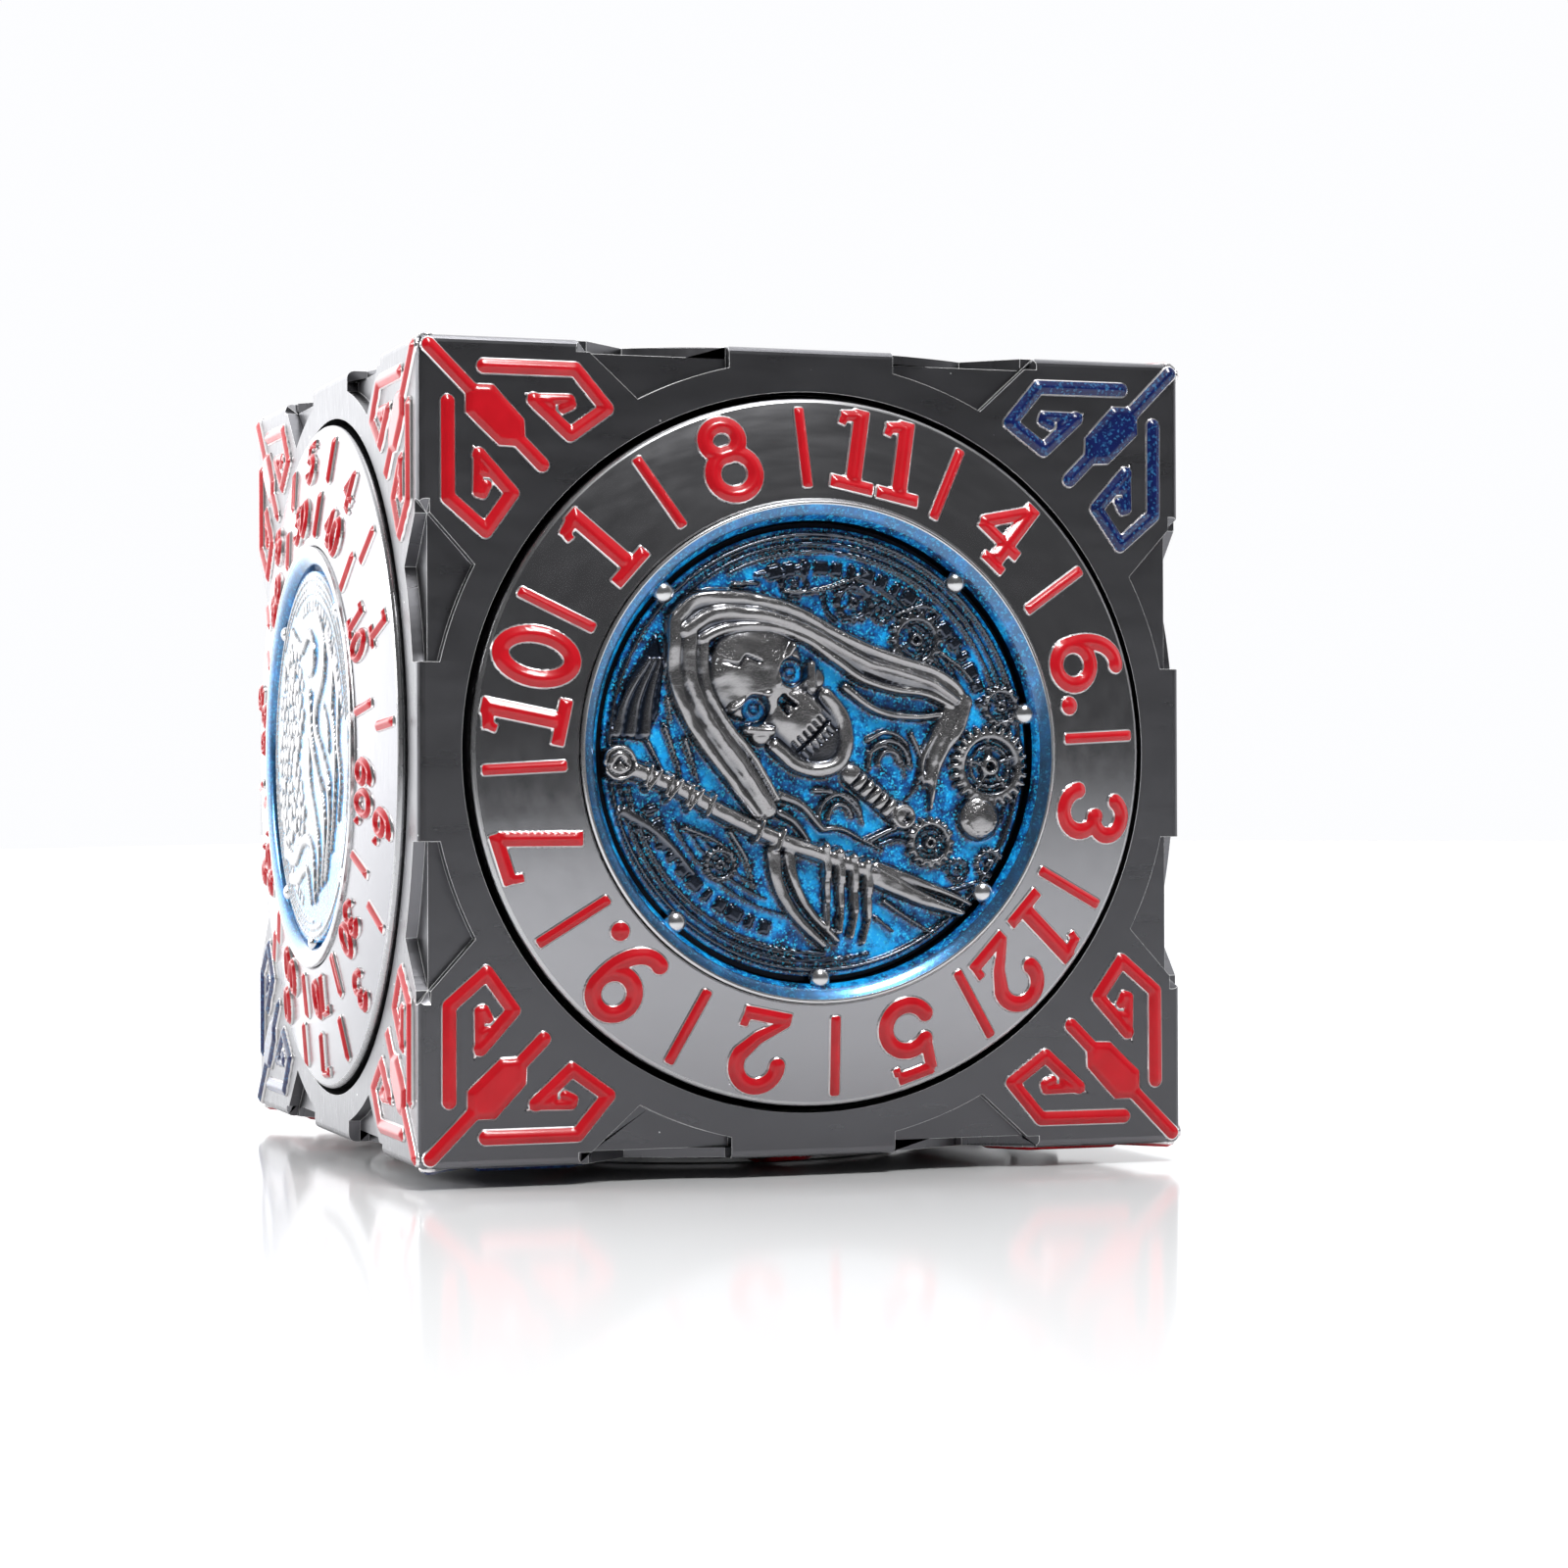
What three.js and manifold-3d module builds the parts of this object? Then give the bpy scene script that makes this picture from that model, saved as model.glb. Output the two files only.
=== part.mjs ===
// Dice-spinner fidget cube: a one-piece die-cast frame with a spinning number dial in each of its
// six faces. Every dial is pressed into the inner race of a miniature ball bearing, whose outer race
// is pressed into a boss of the frame.
// Millimetres, +Z up. The origin is on the plane the cube stands on, under its centre.
import * as THREE from 'three';
import { mergeVertices } from 'three/addons/utils/BufferGeometryUtils.js';
import { ConvexGeometry } from 'three/addons/geometries/ConvexGeometry.js';
import Module from 'manifold-3d';

const wasm = await Module();
wasm.setup();

// Frame block
const CUBE = 40;                  // across the frame's flat faces
const HALF = CUBE / 2;
const EDGE_CHAMFER = 0.35;

// Facets of the turned shapes: multiples of four, so that they repeat on every face of the cube
const DIAL_FACETS = 40;
const BEARING_FACETS = 16;

// Relief notches between each corner block and the tab in the middle of each edge
const NOTCH_DEPTH = 0.6;
const NOTCH_OUTER_X = 12.1;       // where the notch meets the edge, from the middle of the edge
const NOTCH_SHOULDER = new THREE.Vector2(9.0, 17.2);
const TAB_HALF_WIDTH = 4.3;
const RING_WALL_RADIUS = 19.4;    // outside of the thin wall that is left round each dial
const RING_WALL_STEPS = 3;

// Pocket that a dial turns in; its 45 degree flank keeps an even wall to the next face's pocket
const POCKET_RADIUS = 17.85;
const POCKET_STRAIGHT = 1.55;
const POCKET_FLOOR = 8.0;
const POCKET_FLANK_SUM = POCKET_RADIUS + POCKET_STRAIGHT;   // radius plus depth along the flank
const CORE_BORE_RADIUS = 5.2;     // core holes that meet in the middle of the frame

// Dial
const DIAL_RADIUS = 17.43;
const EDGE_BEVEL = 0.18;
const DIAL_RIM_DEPTH = 1.1;       // straight side below the frame's face
const DIAL_BACK_DEPTH = 2.6;
const DIAL_FLANK_SUM = DIAL_RADIUS + DIAL_RIM_DEPTH;
const SEAT_DEPTH = 0.9;           // seat of the medallion below the frame's face
const SEAT_CLEARANCE = 0.05;

// Raised bars between the numbers
const BAR_WIDTH = 0.62;
const BAR_RISE = 0.25;
const BAR_BEVEL = 0.14;
const BAR_ROOT = 0.5;             // part of a bar that is sunk in the cone

// Medallion pressed into the dial
const RIM_WIDTH = 0.45;
const TROUGH_FLOOR = 0.55;        // enamel level inside the rim

// Bearing of 12.70 x 6.35 x 4.76 mm
const BEARING_OUTER_RADIUS = 6.35;
const BEARING_BORE_RADIUS = 3.175;
const BEARING_WIDTH = 4.76;
const BEARING_TOP_DEPTH = 3.6;
const BEARING_BOTTOM_DEPTH = BEARING_TOP_DEPTH + BEARING_WIDTH;
const BEARING_BEVEL = 0.3;
const OUTER_RACE_INNER_RADIUS = 5.35;
const INNER_RACE_OUTER_RADIUS = 4.15;
const GROOVE_DEPTH = 0.27;
const GROOVE_HALF_WIDTH = 0.72;
const PITCH_RADIUS = (BEARING_OUTER_RADIUS + BEARING_BORE_RADIUS) / 2;
const BALL_RADIUS = 0.66;
const BALL_COUNT = 7;
const CAGE_HALF_WALL = 0.22;
const CAGE_HALF_HEIGHT = 0.95;
const PRESS_GAP = 0.03;           // modelling gap between pressed faces

// Frame boss that holds the outer race, and the dial's stub that fills the inner race
const BOSS_WALL = 1.55;
const BOSS_RADIUS = BEARING_OUTER_RADIUS + BOSS_WALL;
const BOSS_TOP_DEPTH = 3.5;
const STUB_RADIUS = BEARING_BORE_RADIUS - PRESS_GAP;
const STUB_SHOULDER_RADIUS = 3.9;
const STUB_SHOULDER_GAP = 0.05;
const STUB_END_DEPTH = BEARING_BOTTOM_DEPTH - 0.2;

const DEG = Math.PI / 180;

// How far a dial domes out of the frame's face: its outer edge, the rise of the number cone towards
// the centre per millimetre, and the top of the medallion's rim.
const HIGH_DOME = { edge: 0.38, slope: 0.2, top: 1.6 };
const MIDDLE_DOME = { edge: 0.38, slope: 0.12, top: 1.35 };
const LOW_DOME = { edge: 0.15, slope: 0.12, top: 1.0 };

// Layout of a dial: the radius of the medallion and the radii between which each row's bars run
const SINGLE_ROW = { medallion: 12.35, rows: [[12.95, 17.1]] };
const DOUBLE_ROW = { medallion: 11.1, rows: [[14.5, 17.1], [11.5, 14.1]] };

// The six faces. "out" is the face's outward normal and "up" the direction of its top mark.
// "starts" gives, for each row, the angle of one bar anticlockwise from the face's right-hand side.
const FACES = [
  { name: 'front', out: [0, -1, 0], up: [0, 0, 1], dome: HIGH_DOME, layout: SINGLE_ROW, sectors: 12, starts: [3] },
  { name: 'left', out: [-1, 0, 0], up: [0, 0, 1], dome: MIDDLE_DOME, layout: DOUBLE_ROW, sectors: 10,
    starts: [5.2, 10.4] },
  { name: 'back', out: [0, 1, 0], up: [0, 0, 1], dome: HIGH_DOME, layout: SINGLE_ROW, sectors: 6, starts: [30] },
  { name: 'right', out: [1, 0, 0], up: [0, 0, 1], dome: MIDDLE_DOME, layout: SINGLE_ROW, sectors: 8,
    starts: [22.5] },
  { name: 'top', out: [0, 0, 1], up: [0, 1, 0], dome: LOW_DOME, layout: SINGLE_ROW, sectors: 20, starts: [9] },
  { name: 'bottom', out: [0, 0, -1], up: [0, -1, 0], dome: LOW_DOME, layout: SINGLE_ROW, sectors: 4,
    starts: [45] },
];

// ---------------------------------------------------------------- geometry helpers

// Keeps only positions and merges shared vertices, dropping the slivers that this closes up.
function weld(geometry) {
  const plain = geometry.clone();
  plain.deleteAttribute('normal');
  plain.deleteAttribute('uv');
  const merged = mergeVertices(plain, 1e-4);
  const corners = merged.index.array;
  const kept = [];
  for (let i = 0; i < corners.length; i += 3) {
    const [a, b, c] = [corners[i], corners[i + 1], corners[i + 2]];
    if (a !== b && b !== c && c !== a) kept.push(a, b, c);
  }
  merged.setIndex(kept);
  return merged;
}

function toSolid(geometry) {
  const welded = weld(geometry);
  return new wasm.Manifold(new wasm.Mesh({
    numProp: 3,
    vertProperties: new Float32Array(welded.attributes.position.array),
    triVerts: new Uint32Array(welded.index.array),
  }));
}

function toGeometry(solid) {
  const mesh = solid.getMesh();
  const geometry = new THREE.BufferGeometry();
  geometry.setAttribute('position', new THREE.BufferAttribute(mesh.vertProperties, 3));
  geometry.setIndex(new THREE.BufferAttribute(mesh.triVerts, 1));
  geometry.computeVertexNormals();
  return geometry;
}

// Turns a profile of [radius, height] points round Z. The points run anticlockwise in that plane:
// from the axis out, up and back to it, or all the way round a ring's section.
function turned(profile, facets) {
  const points = profile.map(([r, z]) => new THREE.Vector2(r, z));
  return new THREE.LatheGeometry(points, facets).rotateX(Math.PI / 2);
}

function turnedRing(profile, facets) {
  return turned([...profile, profile[0]], facets);
}

// Matrix that carries a face's own axes (X right, Y up, Z outward) to the cube
function faceMatrix(face) {
  const out = new THREE.Vector3(...face.out);
  const up = new THREE.Vector3(...face.up);
  const right = new THREE.Vector3().crossVectors(up, out);
  return new THREE.Matrix4().makeBasis(right, up, out).setPosition(out.multiplyScalar(HALF));
}

function coneHeight(dome, radius) {
  return dome.edge + dome.slope * (DIAL_RADIUS - radius);
}

// ---------------------------------------------------------------- frame

function blockGeometry() {
  const long = HALF;
  const short = HALF - EDGE_CHAMFER;
  const corners = [];
  for (const sx of [-1, 1]) {
    for (const sy of [-1, 1]) {
      for (const sz of [-1, 1]) {
        corners.push(new THREE.Vector3(sx * long, sy * short, sz * short));
        corners.push(new THREE.Vector3(sx * short, sy * long, sz * short));
        corners.push(new THREE.Vector3(sx * short, sy * short, sz * long));
      }
    }
  }
  return new ConvexGeometry(corners);
}

// One notch beside the middle tab of the face's top edge, on the side given by sign
function notchGeometry(sign) {
  const beyond = HALF + 1;
  const shoulderAngle = NOTCH_SHOULDER.angle();
  const tabAngle = Math.acos(TAB_HALF_WIDTH / RING_WALL_RADIUS);
  const points = [
    new THREE.Vector2(NOTCH_OUTER_X, beyond),
    new THREE.Vector2(NOTCH_OUTER_X, HALF),
  ];
  for (let i = 0; i <= RING_WALL_STEPS; i += 1) {
    const angle = THREE.MathUtils.lerp(shoulderAngle, tabAngle, i / RING_WALL_STEPS);
    points.push(new THREE.Vector2(Math.cos(angle), Math.sin(angle)).multiplyScalar(RING_WALL_RADIUS));
  }
  points.push(new THREE.Vector2(TAB_HALF_WIDTH, beyond));
  points.forEach((p) => { p.x *= sign; });
  const cutter = new THREE.ExtrudeGeometry(new THREE.Shape(points),
    { depth: NOTCH_DEPTH + 1, bevelEnabled: false });
  return cutter.translate(0, 0, -NOTCH_DEPTH);
}

// Everything that is cut from one face, on the face's own axes
function faceCutter() {
  const pocket = toSolid(turned([
    [0, -POCKET_FLOOR],
    [POCKET_FLANK_SUM - POCKET_FLOOR, -POCKET_FLOOR],
    [POCKET_RADIUS, -POCKET_STRAIGHT],
    [POCKET_RADIUS, 1],
    [0, 1],
  ], DIAL_FACETS));
  const boss = toSolid(turned([
    [0, -POCKET_FLOOR - 1],
    [BOSS_RADIUS, -POCKET_FLOOR - 1],
    [BOSS_RADIUS, -BOSS_TOP_DEPTH],
    [0, -BOSS_TOP_DEPTH],
  ], BEARING_FACETS));
  const bore = toSolid(turned([
    [0, -HALF],
    [CORE_BORE_RADIUS, -HALF],
    [CORE_BORE_RADIUS, -BEARING_BOTTOM_DEPTH - PRESS_GAP],
    [BEARING_OUTER_RADIUS + PRESS_GAP, -BEARING_BOTTOM_DEPTH - PRESS_GAP],
    [BEARING_OUTER_RADIUS + PRESS_GAP, -BOSS_TOP_DEPTH + 0.5],
    [0, -BOSS_TOP_DEPTH + 0.5],
  ], BEARING_FACETS));
  let cutter = pocket.subtract(boss).add(bore);
  for (let quarter = 0; quarter < 4; quarter += 1) {
    for (const sign of [-1, 1]) {
      cutter = cutter.add(toSolid(notchGeometry(sign).rotateZ(quarter * 90 * DEG)));
    }
  }
  return toGeometry(cutter);
}

function frameGeometry() {
  const cutter = faceCutter();
  let frame = toSolid(blockGeometry());
  for (const face of FACES) {
    frame = frame.subtract(toSolid(cutter.clone().applyMatrix4(faceMatrix(face))));
  }
  return toGeometry(frame);
}

// ---------------------------------------------------------------- dial and medallion

function barGeometry(dome, [from, to], angle) {
  const length = to - from;
  const shape = new THREE.Shape([
    new THREE.Vector2(-length / 2 + BAR_BEVEL, -BAR_WIDTH / 2 + BAR_BEVEL),
    new THREE.Vector2(length / 2 - BAR_BEVEL, -BAR_WIDTH / 2 + BAR_BEVEL),
    new THREE.Vector2(length / 2 - BAR_BEVEL, BAR_WIDTH / 2 - BAR_BEVEL),
    new THREE.Vector2(-length / 2 + BAR_BEVEL, BAR_WIDTH / 2 - BAR_BEVEL),
  ]);
  const bar = new THREE.ExtrudeGeometry(shape, {
    depth: BAR_ROOT + BAR_RISE - 2 * BAR_BEVEL,
    bevelThickness: BAR_BEVEL,
    bevelSize: BAR_BEVEL,
    bevelSegments: 1,
  });
  const middle = (from + to) / 2;
  return bar
    .translate(0, 0, BAR_BEVEL - BAR_ROOT)
    .rotateY(Math.atan(dome.slope))
    .translate(middle, 0, coneHeight(dome, middle))
    .rotateZ(angle);
}

function dialGeometry(face) {
  const { dome, layout } = face;
  const seat = layout.medallion + SEAT_CLEARANCE;
  let dial = toSolid(turned([
    [0, -DIAL_BACK_DEPTH],
    [DIAL_FLANK_SUM - DIAL_BACK_DEPTH, -DIAL_BACK_DEPTH],
    [DIAL_RADIUS, -DIAL_RIM_DEPTH],
    [DIAL_RADIUS, dome.edge - EDGE_BEVEL],
    [DIAL_RADIUS - EDGE_BEVEL, coneHeight(dome, DIAL_RADIUS - EDGE_BEVEL)],
    [seat, coneHeight(dome, seat)],
    [seat, -SEAT_DEPTH],
    [0, -SEAT_DEPTH],
  ], DIAL_FACETS));
  const stub = toSolid(turned([
    [0, -STUB_END_DEPTH],
    [STUB_RADIUS, -STUB_END_DEPTH],
    [STUB_RADIUS, -BEARING_TOP_DEPTH + STUB_SHOULDER_GAP],
    [STUB_SHOULDER_RADIUS, -BEARING_TOP_DEPTH + STUB_SHOULDER_GAP],
    [STUB_SHOULDER_RADIUS, -(DIAL_BACK_DEPTH + SEAT_DEPTH) / 2],
    [0, -(DIAL_BACK_DEPTH + SEAT_DEPTH) / 2],
  ], BEARING_FACETS));
  dial = dial.add(stub);
  layout.rows.forEach((row, rowIndex) => {
    for (let i = 0; i < face.sectors; i += 1) {
      const angle = (face.starts[rowIndex] + (360 / face.sectors) * i) * DEG;
      dial = dial.add(toSolid(barGeometry(dome, row, angle)));
    }
  });
  return toGeometry(dial);
}

function medallionGeometry(face) {
  const { medallion: radius } = face.layout;
  const { top } = face.dome;
  return turned([
    [0, -SEAT_DEPTH + SEAT_CLEARANCE],
    [radius, -SEAT_DEPTH + SEAT_CLEARANCE],
    [radius, top],
    [radius - RIM_WIDTH, top],
    [radius - 2 * RIM_WIDTH, TROUGH_FLOOR],
    [0, TROUGH_FLOOR],
  ], DIAL_FACETS);
}

// ---------------------------------------------------------------- bearing

function outerRaceGeometry() {
  const groove = OUTER_RACE_INNER_RADIUS + GROOVE_DEPTH;
  const middle = -(BEARING_TOP_DEPTH + BEARING_BOTTOM_DEPTH) / 2;
  return turnedRing([
    [OUTER_RACE_INNER_RADIUS, -BEARING_BOTTOM_DEPTH],
    [BEARING_OUTER_RADIUS - BEARING_BEVEL, -BEARING_BOTTOM_DEPTH],
    [BEARING_OUTER_RADIUS, -BEARING_BOTTOM_DEPTH + BEARING_BEVEL],
    [BEARING_OUTER_RADIUS, -BEARING_TOP_DEPTH],
    [OUTER_RACE_INNER_RADIUS, -BEARING_TOP_DEPTH],
    [OUTER_RACE_INNER_RADIUS, middle + GROOVE_HALF_WIDTH],
    [groove, middle],
    [OUTER_RACE_INNER_RADIUS, middle - GROOVE_HALF_WIDTH],
  ], BEARING_FACETS);
}

function innerRaceGeometry() {
  const groove = INNER_RACE_OUTER_RADIUS - GROOVE_DEPTH;
  const middle = -(BEARING_TOP_DEPTH + BEARING_BOTTOM_DEPTH) / 2;
  return turnedRing([
    [BEARING_BORE_RADIUS, -BEARING_BOTTOM_DEPTH],
    [INNER_RACE_OUTER_RADIUS, -BEARING_BOTTOM_DEPTH],
    [INNER_RACE_OUTER_RADIUS, middle - GROOVE_HALF_WIDTH],
    [groove, middle],
    [INNER_RACE_OUTER_RADIUS, middle + GROOVE_HALF_WIDTH],
    [INNER_RACE_OUTER_RADIUS, -BEARING_TOP_DEPTH],
    [BEARING_BORE_RADIUS, -BEARING_TOP_DEPTH],
  ], BEARING_FACETS);
}

// The cage ring with its balls, which ride round together at the pitch radius
function ballCageGeometry() {
  const middle = -(BEARING_TOP_DEPTH + BEARING_BOTTOM_DEPTH) / 2;
  let cage = toSolid(turnedRing([
    [PITCH_RADIUS - CAGE_HALF_WALL, middle - CAGE_HALF_HEIGHT],
    [PITCH_RADIUS + CAGE_HALF_WALL, middle - CAGE_HALF_HEIGHT],
    [PITCH_RADIUS + CAGE_HALF_WALL, middle + CAGE_HALF_HEIGHT],
    [PITCH_RADIUS - CAGE_HALF_WALL, middle + CAGE_HALF_HEIGHT],
  ], BEARING_FACETS));
  for (let i = 0; i < BALL_COUNT; i += 1) {
    const angle = (360 / BALL_COUNT) * i * DEG;
    const ball = new THREE.IcosahedronGeometry(BALL_RADIUS, 0)
      .translate(PITCH_RADIUS, 0, middle)
      .rotateZ(angle);
    cage = cage.add(toSolid(ball));
  }
  return toGeometry(cage);
}

// ---------------------------------------------------------------- finishes

const frameMetal = () => new THREE.MeshStandardMaterial({ color: 0x4b4b4e, roughness: 0.42, metalness: 0.9 });
const dialMetal = () => new THREE.MeshStandardMaterial({ color: 0x7b7c80, roughness: 0.25, metalness: 0.95 });
const medallionMetal = () => new THREE.MeshStandardMaterial({ color: 0x1c6fb8, roughness: 0.3, metalness: 0.6 });
const raceSteel = () => new THREE.MeshStandardMaterial({ color: 0xb9bcc0, roughness: 0.15, metalness: 1.0 });
const cageSteel = () => new THREE.MeshStandardMaterial({ color: 0x9a958a, roughness: 0.3, metalness: 1.0 });

function named(name, geometry, material) {
  const mesh = new THREE.Mesh(geometry, material);
  mesh.name = name;
  return mesh;
}

// ---------------------------------------------------------------- assembly

const cube = new THREE.Group();
cube.position.z = HALF + LOW_DOME.top;   // it stands on the rim of the lower medallion
cube.add(named('frame', frameGeometry(), frameMetal()));

for (const face of FACES) {
  const station = new THREE.Group();
  station.applyMatrix4(faceMatrix(face));
  station.add(named(`dial_${face.name}`, dialGeometry(face), dialMetal()));
  station.add(named(`medallion_${face.name}`, medallionGeometry(face), medallionMetal()));
  station.add(named(`outer_race_${face.name}`, outerRaceGeometry(), raceSteel()));
  station.add(named(`inner_race_${face.name}`, innerRaceGeometry(), raceSteel()));
  station.add(named(`ball_cage_${face.name}`, ballCageGeometry(), cageSteel()));
  cube.add(station);
}

const assembly = new THREE.Group();
assembly.add(cube);

export default assembly;
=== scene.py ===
"""Dice-spinner fidget cube: the looks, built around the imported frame. In metres, MM being a millimetre."""
import math

import bpy
import numpy as np
from mathutils import Matrix, Vector


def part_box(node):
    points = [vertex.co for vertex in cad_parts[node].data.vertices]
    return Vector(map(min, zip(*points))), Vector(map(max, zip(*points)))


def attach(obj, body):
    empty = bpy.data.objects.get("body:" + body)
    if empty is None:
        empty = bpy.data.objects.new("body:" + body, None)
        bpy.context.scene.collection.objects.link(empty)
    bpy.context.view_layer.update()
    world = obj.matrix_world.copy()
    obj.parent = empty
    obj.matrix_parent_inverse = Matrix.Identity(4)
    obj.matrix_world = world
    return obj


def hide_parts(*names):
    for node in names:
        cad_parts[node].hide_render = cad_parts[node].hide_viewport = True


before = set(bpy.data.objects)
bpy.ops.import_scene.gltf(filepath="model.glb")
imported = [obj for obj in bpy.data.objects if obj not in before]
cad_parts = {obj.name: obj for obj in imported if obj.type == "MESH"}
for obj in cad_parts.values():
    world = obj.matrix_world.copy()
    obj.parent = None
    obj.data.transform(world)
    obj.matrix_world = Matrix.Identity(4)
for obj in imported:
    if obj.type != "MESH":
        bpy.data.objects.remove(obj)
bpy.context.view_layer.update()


# ------------------------------------------------------------------ studio floor, light and camera
# A pale gloss table under a white surround, dark on the viewer's side so that bare metal reads as
# gunmetal, with a bright window behind the cube and soft lamps at the left, high in front and overhead.

MM = 0.001
frame_low, frame_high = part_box("frame")
CENTRE = (frame_low + frame_high) / 2
HALF = (frame_high.x - frame_low.x) / 2


def feed(socket, source):
    """Joins an output to an input socket, or gives the input a plain value."""
    if isinstance(source, bpy.types.NodeSocket):
        socket.id_data.links.new(source, socket)
    else:
        socket.default_value = source


def set_up(node, **settings):
    """Feeds the inputs that the settings name, with _ for a space; other names are the node's properties."""
    for key, value in settings.items():
        socket = node.inputs.get(key.replace("_", " "))
        if socket is None:
            setattr(node, key, value)
        else:
            feed(socket, value)
    return node


def add_node(tree, kind, *sources, **settings):
    """Adds a shader node, feeding its inputs in order from the sources and by name from the settings."""
    node = set_up(tree.nodes.new("ShaderNode" + kind), **settings)
    for socket, source in zip(node.inputs, sources):
        feed(socket, source)
    return node


def mixed(tree, factor, first, second, blend_type="MIX"):
    """The colour output of a Mix node."""
    return add_node(tree, "Mix", data_type="RGBA", blend_type=blend_type, Factor=factor, A=first,
                    B=second).outputs["Result"]


def new_material(name):
    """A new node material: the material, its node tree and its Principled shader."""
    material = bpy.data.materials.new(name)
    material.use_nodes = True
    return material, material.node_tree, material.node_tree.nodes["Principled BSDF"]


def paint(piece, *materials):
    for material in materials:
        piece.data.materials.append(material)


def add_to_scene(name, data):
    thing = bpy.data.objects.new(name, data)
    bpy.context.scene.collection.objects.link(thing)
    return thing


def soft_light(name, power, size, offset):
    """A square soft lamp, at its offset from the cube's middle and aimed at it."""
    lamp = bpy.data.lights.new(name, "AREA")
    lamp.energy = power
    lamp.size = size
    light = add_to_scene(name, lamp)
    light.location = CENTRE + Vector(offset)
    light.rotation_euler = (-Vector(offset)).to_track_quat("-Z", "Y").to_euler()


bpy.ops.mesh.primitive_plane_add(size=1.6, location=(0.446, 0.495, 0), rotation=(0, 0, math.radians(-42)))
floor = bpy.context.object
floor.name = "studio_floor"
floor_material, tree, shader = new_material("pale_table")
set_up(shader, Base_Color=(0.735, 0.74, 0.745, 1), Roughness=0.1, Specular_IOR_Level=0.11)
paint(floor, floor_material)

world = bpy.data.worlds.new("studio_surround")
bpy.context.scene.world = world
world.use_nodes = True
tree = world.node_tree
direction = add_node(tree, "TexCoord").outputs["Generated"]


def brightness(towards, start, full, darkest, brightest):
    """How bright the surround is: it rises smoothly towards one direction."""
    facing = add_node(tree, "VectorMath", direction, towards, operation="DOT_PRODUCT")
    return add_node(tree, "MapRange", interpolation_type="SMOOTHSTEP", Value=facing.outputs["Value"],
                    From_Min=start, From_Max=full, To_Min=darkest, To_Max=brightest).outputs["Result"]


wall = brightness((0.25, 1.0, 0.3), -0.1, 0.6, 0.13, 1.3)
window = brightness((-0.33, 0.94, 0.05), 0.7, 0.98, 0.0, 1.5)
total = add_node(tree, "Math", wall, window, operation="ADD")
rays = add_node(tree, "LightPath")
seen = add_node(tree, "Mix", data_type="FLOAT",
                Factor=rays.outputs["Is Camera Ray"], A=total.outputs[0], B=1.0)
set_up(tree.nodes["Background"], Color=(0.98, 0.985, 1.0, 1), Strength=seen.outputs["Result"])

soft_light("left_softbox", 1.4, 0.16, (-0.46, 0.12, 0.18))
soft_light("high_front_light", 2.2, 0.14, (0.04, -0.26, 0.42))
soft_light("top_softbox", 0.8, 0.4, (0.1, 0.1, 0.5))

camera_data = bpy.data.cameras.new("camera")
camera_data.lens = 81.65
camera_data.sensor_width = 36.0
camera_data.clip_start = 0.01
camera = add_to_scene("camera", camera_data)
CAMERA_HEADING = math.radians(-19.19)
CAMERA_TILT = math.radians(90.31)
CAMERA_ROLL = math.radians(-0.18)
camera.matrix_world = (
    Matrix.Translation(CENTRE + Vector((-59.26, -185.89, -2.52)) * MM)
    @ Matrix.Rotation(CAMERA_HEADING, 4, "Z")
    @ Matrix.Rotation(CAMERA_TILT, 4, "X")
    @ Matrix.Rotation(CAMERA_ROLL, 4, "Z")
)
bpy.context.scene.camera = camera
bpy.context.scene.view_settings.view_transform = "Standard"


# ------------------------------------------------------------------ cast frame
# One-piece die-cast zinc cube with a satin gunmetal plate: a stepped round pocket with a bearing
# boss in each face, shallow notches along every edge, and edges worn bright by handling, their
# near-white colour partly worn plating and partly a painted highlight.

FACES = {
    "front": ((0, -1, 0), (0, 0, 1)),
    "left": ((-1, 0, 0), (0, 0, 1)),
    "back": ((0, 1, 0), (0, 0, 1)),
    "right": ((1, 0, 0), (0, 0, 1)),
    "top": ((0, 0, 1), (0, 1, 0)),
    "bottom": ((0, 0, -1), (0, -1, 0)),
}
DIAL_SIDES = 160


def face_matrix(face):
    """Carries a face's own axes, X right, Y up and Z outward from its flat, to the cube."""
    out, up = (Vector(v) for v in FACES[face])
    turn = Matrix((up.cross(out), up, out)).transposed().to_4x4()
    return Matrix.Translation(CENTRE + out * HALF) @ turn


def deselect_all():
    bpy.ops.object.select_all(action="DESELECT")


def pick(piece):
    deselect_all()
    bpy.context.view_layer.objects.active = piece
    piece.select_set(True)


def smooth_by_angle(piece, degrees):
    pick(piece)
    bpy.ops.object.shade_smooth_by_angle(angle=math.radians(degrees))


def apply_modifier(piece, kind, **settings):
    modifier = piece.modifiers.new(kind.lower(), kind)
    for key, value in settings.items():
        setattr(modifier, key, value)
    pick(piece)
    bpy.ops.object.modifier_apply(modifier=modifier.name)


def turn_faces_outward():
    """The last step in edit mode: every face of the closed shell points outwards."""
    bpy.ops.mesh.select_all(action="SELECT")
    bpy.ops.mesh.normals_make_consistent(inside=False)
    bpy.ops.object.mode_set(mode="OBJECT")


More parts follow.
